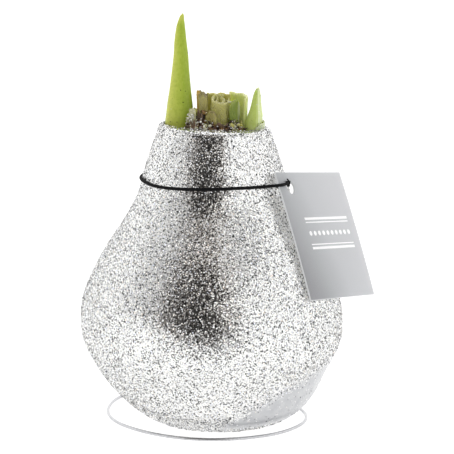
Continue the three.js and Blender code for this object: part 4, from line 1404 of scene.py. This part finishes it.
def cord_body(thickness):
    """The loop, a knot in front of the hole, (sin t + 2 sin 2t, cos t - 2 cos 2t, -1.2 sin 3t), and
    one short cut end."""
    off = thickness / 2 + CORD_LIFT
    front, behind = (on_coat(*np.array(way).T, off) for way in (CORD_IN_FRONT, CORD_BEHIND))
    way = route(np.vstack([front, on_card(CORD_THROUGH), behind]), closed=True)
    loop = even_steps(way, CORD_STEP, closed=True)
    along = np.roll(loop, -1, 0) - np.roll(loop, 1, 0)
    t = np.linspace(0, TAU, 90, endpoint=False)
    curl = np.stack([np.sin(t) + 2 * np.sin(2 * t), np.cos(t) - 2 * np.cos(2 * t), -1.2 * np.sin(3 * t)], -1)
    knot = on_card(KNOT_AT + KNOT_SIZE * curl)
    tail = even_steps(route(on_card([KNOT_AT, np.add(KNOT_AT, (0.1, 0.6, 0.2)), TAIL_END])), CORD_STEP)
    across, face = on_card([(1, 0, 0), (0, 0, 1)]) - on_card([0, 0, 0])
    return joined([braided(loop, thickness, np.cross(along, (0, 0, 1)), True),
                   braided(knot, KNOT_PULL * thickness, face, True),
                   braided(tail, KNOT_PULL * thickness, across, False)])


class AMARYLLIS_OT_hang_tag(bpy.types.Operator):
    """Cuts, prints and hangs the card tag"""

    bl_idname = "amaryllis.hang_tag"
    bl_label = "Hang tag"

    def execute(self, context):
        trim = context.scene.amaryllis_trim
        make_piece("card_tag", card_body(), satin_card(trim.card[:], trim.card_edge[:]),
                   replaces=["hang_tag"], crease=35)
        return {"FINISHED"}


CARD_BEVEL = 0.08
CARD_BOW = 0.35
CARD_RINGS = 12  # from the hole's rim to the card's edge
SIDE_POINTS = 24


def card_body():
    """A ring of faces from the punched hole out to the card's edge, round it and back to the hole
    behind. At share s a point is s of the way from the hole's rim to the edge. The card bows out
    by the square of its height."""
    side = np.linspace(-1, 1, SIDE_POINTS + 1)[:-1]
    w, h = CARD_WIDTH / 2, CARD_HEIGHT / 2
    end = np.ones(SIDE_POINTS)
    edge = np.concatenate([np.stack(pair, 1) * (w, h) for pair in (
        (side, -end), (end, side), (-side, end), (-end, -side))])
    away = edge - HOLE_AT
    rim = HOLE_AT + HOLE_DIAMETER / 2 * unit(away)
    inset = edge * (1 - CARD_BEVEL / np.array([w, h]))
    share = np.linspace(0, 1, CARD_RINGS)[:, None, None] ** 1.5
    face = rim + (inset - rim) * share
    rounded = edge[None] * (1 - 0.4 * CARD_BEVEL / np.array([w, h]))
    flat = np.concatenate([face, rounded, edge[None], edge[None], rounded, face[::-1]])
    half = CARD_THICK / 2
    turn = [half - 0.2 * CARD_BEVEL, half - CARD_BEVEL]
    level = np.full(CARD_RINGS, half)
    out = np.concatenate([level, turn, np.negative(turn[::-1]), -level])
    bow = CARD_BOW * (1 - (flat[..., 1] / h) ** 2)
    points = np.concatenate([flat, (out[:, None] + bow)[..., None]], -1)
    rows = len(flat)
    uv = np.vstack([np.hstack([flat, flat[:, :1]]), np.hstack([flat[:1], flat[:1, :1]])])
    cut = np.zeros(rows)
    cut[CARD_RINGS:-CARD_RINGS] = 1
    front = (np.arange(rows) < CARD_RINGS).astype(float)
    return skin(on_card(points), uv, wrap_rows=True, edge=cut[:, None], front=front[:, None])


class AMARYLLIS_OT_studio(bpy.types.Operator):
    """Sets the floor, the light and the camera"""

    bl_idname = "amaryllis.studio"
    bl_label = "Studio"

    def execute(self, context):
        studio = context.scene.amaryllis_studio
        lay_floor(studio.floor[:])
        light_tent(studio.sky, studio.gap)
        place_camera()
        context.scene.view_settings.view_transform = "Standard"
        return {"FINISHED"}


FLOOR_HALF = 200  # a table's size: past its edge the coat mirrors the tent, softly
FLOOR_GLOW = 0.92  # light of the lit table under the white floor


def lay_floor(colour):
    """A plain white lit table, flat and level at the height of the part's foot."""
    ends = np.array([-FLOOR_HALF, FLOOR_HALF], float)
    x, y = np.meshgrid(ends, ends)
    corners = np.stack([x, y, np.zeros_like(x)], -1).reshape(-1, 3) * MM
    mesh = bpy.data.meshes.new("studio_floor")
    mesh.from_pydata(corners.tolist(), [], [(0, 1, 3, 2)])
    acrylic, _ = new_material("white_lit_acrylic")
    mesh.materials.append(finish(acrylic, Base_Color=colour, Roughness=0.6, Specular_IOR_Level=0.2,
                                 Emission_Color="#ffffff", Emission_Strength=FLOOR_GLOW))
    floor = bpy.data.objects.new("studio_floor", mesh)
    bpy.context.scene.collection.objects.link(floor)
    floor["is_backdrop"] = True


# The openings of the tent: heading from the front in degrees to the right, height, half width,
# half height, and how dark they are.
TENT_GAPS = [
    (-11, 23, 32.5, 27, 1.0), (-8, 54, 32, 20, 0.6), (-55, 41, 46, 28, 0.42), (58, 49, 36, 15, 0.5),
    (4, -6, 30, 26, 0.66),
]
WARM_GAPS = 2  # by the first two the light is warmer
WARM_LIGHT = (1.0, 0.88, 0.78, 1)
GAP_EDGE = (0.6, 1.35)  # where the edge of an opening starts and ends, as a share of its half size
SPILL = 0.45  # how far the openings darken what isn't a mirror, where lamps beside them fill in


def light_tent(brightness, gap):
    """A world like a white tent, whose light comes evenly from all round. At the front, where the
    camera is, its openings are dark: ovals in heading and height, soft at their edges."""
    world = bpy.data.worlds.new("white_tent")
    world.use_nodes = True
    bpy.context.scene.world = world
    tree = world.node_tree
    way = add(tree, "SeparateXYZ", [add(tree, "TexCoord", out="Generated")], out=None)
    ray = add(tree, "LightPath", out=None)
    depth = add(tree, "Math MULTIPLY_ADD", [ray["Is Glossy Ray"], 1 - SPILL, SPILL])
    heading = add(tree, "Math ARCTAN2", [way["X"], add(tree, "Math MULTIPLY", [way["Y"], -1.0])])
    height = add(tree, "Math ARCSINE", [way["Z"]])
    light = warm = 1.0
    for number, (at, up, wide, high, dark) in enumerate(TENT_GAPS, 1):
        away = [add(tree, "Math SUBTRACT", [turn, math.radians(middle)])
                for turn, middle in ((heading, at), (height, up))]
        x, y = (add(tree, "Math DIVIDE", [off, math.radians(half)]) for off, half in zip(away, (wide, high)))
        shade = add(tree, "MapRange", {
            "Value": far_from(tree, x, y), "From Min": GAP_EDGE[0], "From Max": GAP_EDGE[1],
            "To Min": dark * (gap - 1), "To Max": 0.0}, interpolation_type="SMOOTHSTEP")
        light = add(tree, "Math MULTIPLY", [light, add(tree, "Math MULTIPLY_ADD", [shade, depth, 1.0])])
        if number <= WARM_GAPS:
            warm = light
    lit = add(tree, "Math MULTIPLY", [brightness, light])
    connect(tree, tree.nodes["Background"], {
        "Color": layered(tree, WARM_LIGHT, (warm, (), "#ffffff")),
        "Strength": add(tree, "Math MAXIMUM", [ray["Is Camera Ray"], lit])})


CAMERA_AT = (4.8, -688.7, 191.7)
CAMERA_DOWN = 79.7  # degrees from straight down
CAMERA_LENS = 161.6
CAMERA_SENSOR = 36


def place_camera():
    """The camera, in front and a little above."""
    camera = bpy.data.cameras.new("camera")
    camera.lens = CAMERA_LENS
    camera.sensor_width = CAMERA_SENSOR
    camera.clip_end = 100
    holder = bpy.data.objects.new("camera", camera)
    holder.location = [c * MM for c in CAMERA_AT]
    holder.rotation_euler = (math.radians(CAMERA_DOWN), 0, 0)
    bpy.context.scene.collection.objects.link(holder)
    bpy.context.scene.camera = holder


# ---------------------------------------------------------------- the add-on

GROUPS = {
    "amaryllis_glitter": AmaryllisGlitter,
    "amaryllis_plant": AmaryllisPlant,
    "amaryllis_trim": AmaryllisTrim,
    "amaryllis_studio": AmaryllisStudio,
}
OPERATORS = [
    AMARYLLIS_OT_studio, AMARYLLIS_OT_neck_cord, AMARYLLIS_OT_wax_coat, AMARYLLIS_OT_glitter,
    AMARYLLIS_OT_bulb, AMARYLLIS_OT_shoots, AMARYLLIS_OT_cut_leaves, AMARYLLIS_OT_torn_bits,
    AMARYLLIS_OT_dead_scraps, AMARYLLIS_OT_wax_drops, AMARYLLIS_OT_crown_glitter,
    AMARYLLIS_OT_wire_stand, AMARYLLIS_OT_hang_tag,
]


class AMARYLLIS_PT_panel(bpy.types.Panel):
    """Lists the sizes, the colours and the pieces"""

    bl_label = "Waxed amaryllis"
    bl_idname = "AMARYLLIS_PT_panel"
    bl_space_type = "VIEW_3D"
    bl_region_type = "UI"
    bl_category = "Amaryllis"

    def draw(self, context):
        for name, group in GROUPS.items():
            box = self.layout.box()
            settings = getattr(context.scene, name)
            for setting in group.__annotations__:
                box.prop(settings, setting)
        for operator in OPERATORS:
            self.layout.operator(operator.bl_idname)


CLASSES = [*GROUPS.values(), *OPERATORS, AMARYLLIS_PT_panel]


def register():
    for made in CLASSES:
        bpy.utils.register_class(made)
    for name, group in GROUPS.items():
        setattr(bpy.types.Scene, name, PointerProperty(type=group))


def unregister():
    for name in GROUPS:
        delattr(bpy.types.Scene, name)
    for made in reversed(CLASSES):
        bpy.utils.unregister_class(made)


def main():
    """Registers the add-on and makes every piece."""
    register()
    for operator in OPERATORS:
        group, name = operator.bl_idname.split(".")
        getattr(getattr(bpy.ops, group), name)()
    bpy.context.view_layer.update()
    boxes = {"cad": CAD_BOX, "visual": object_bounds()}
    {name: [list(corner) for corner in box] for name, box in boxes.items()}


if __name__ == "__main__":
    main()
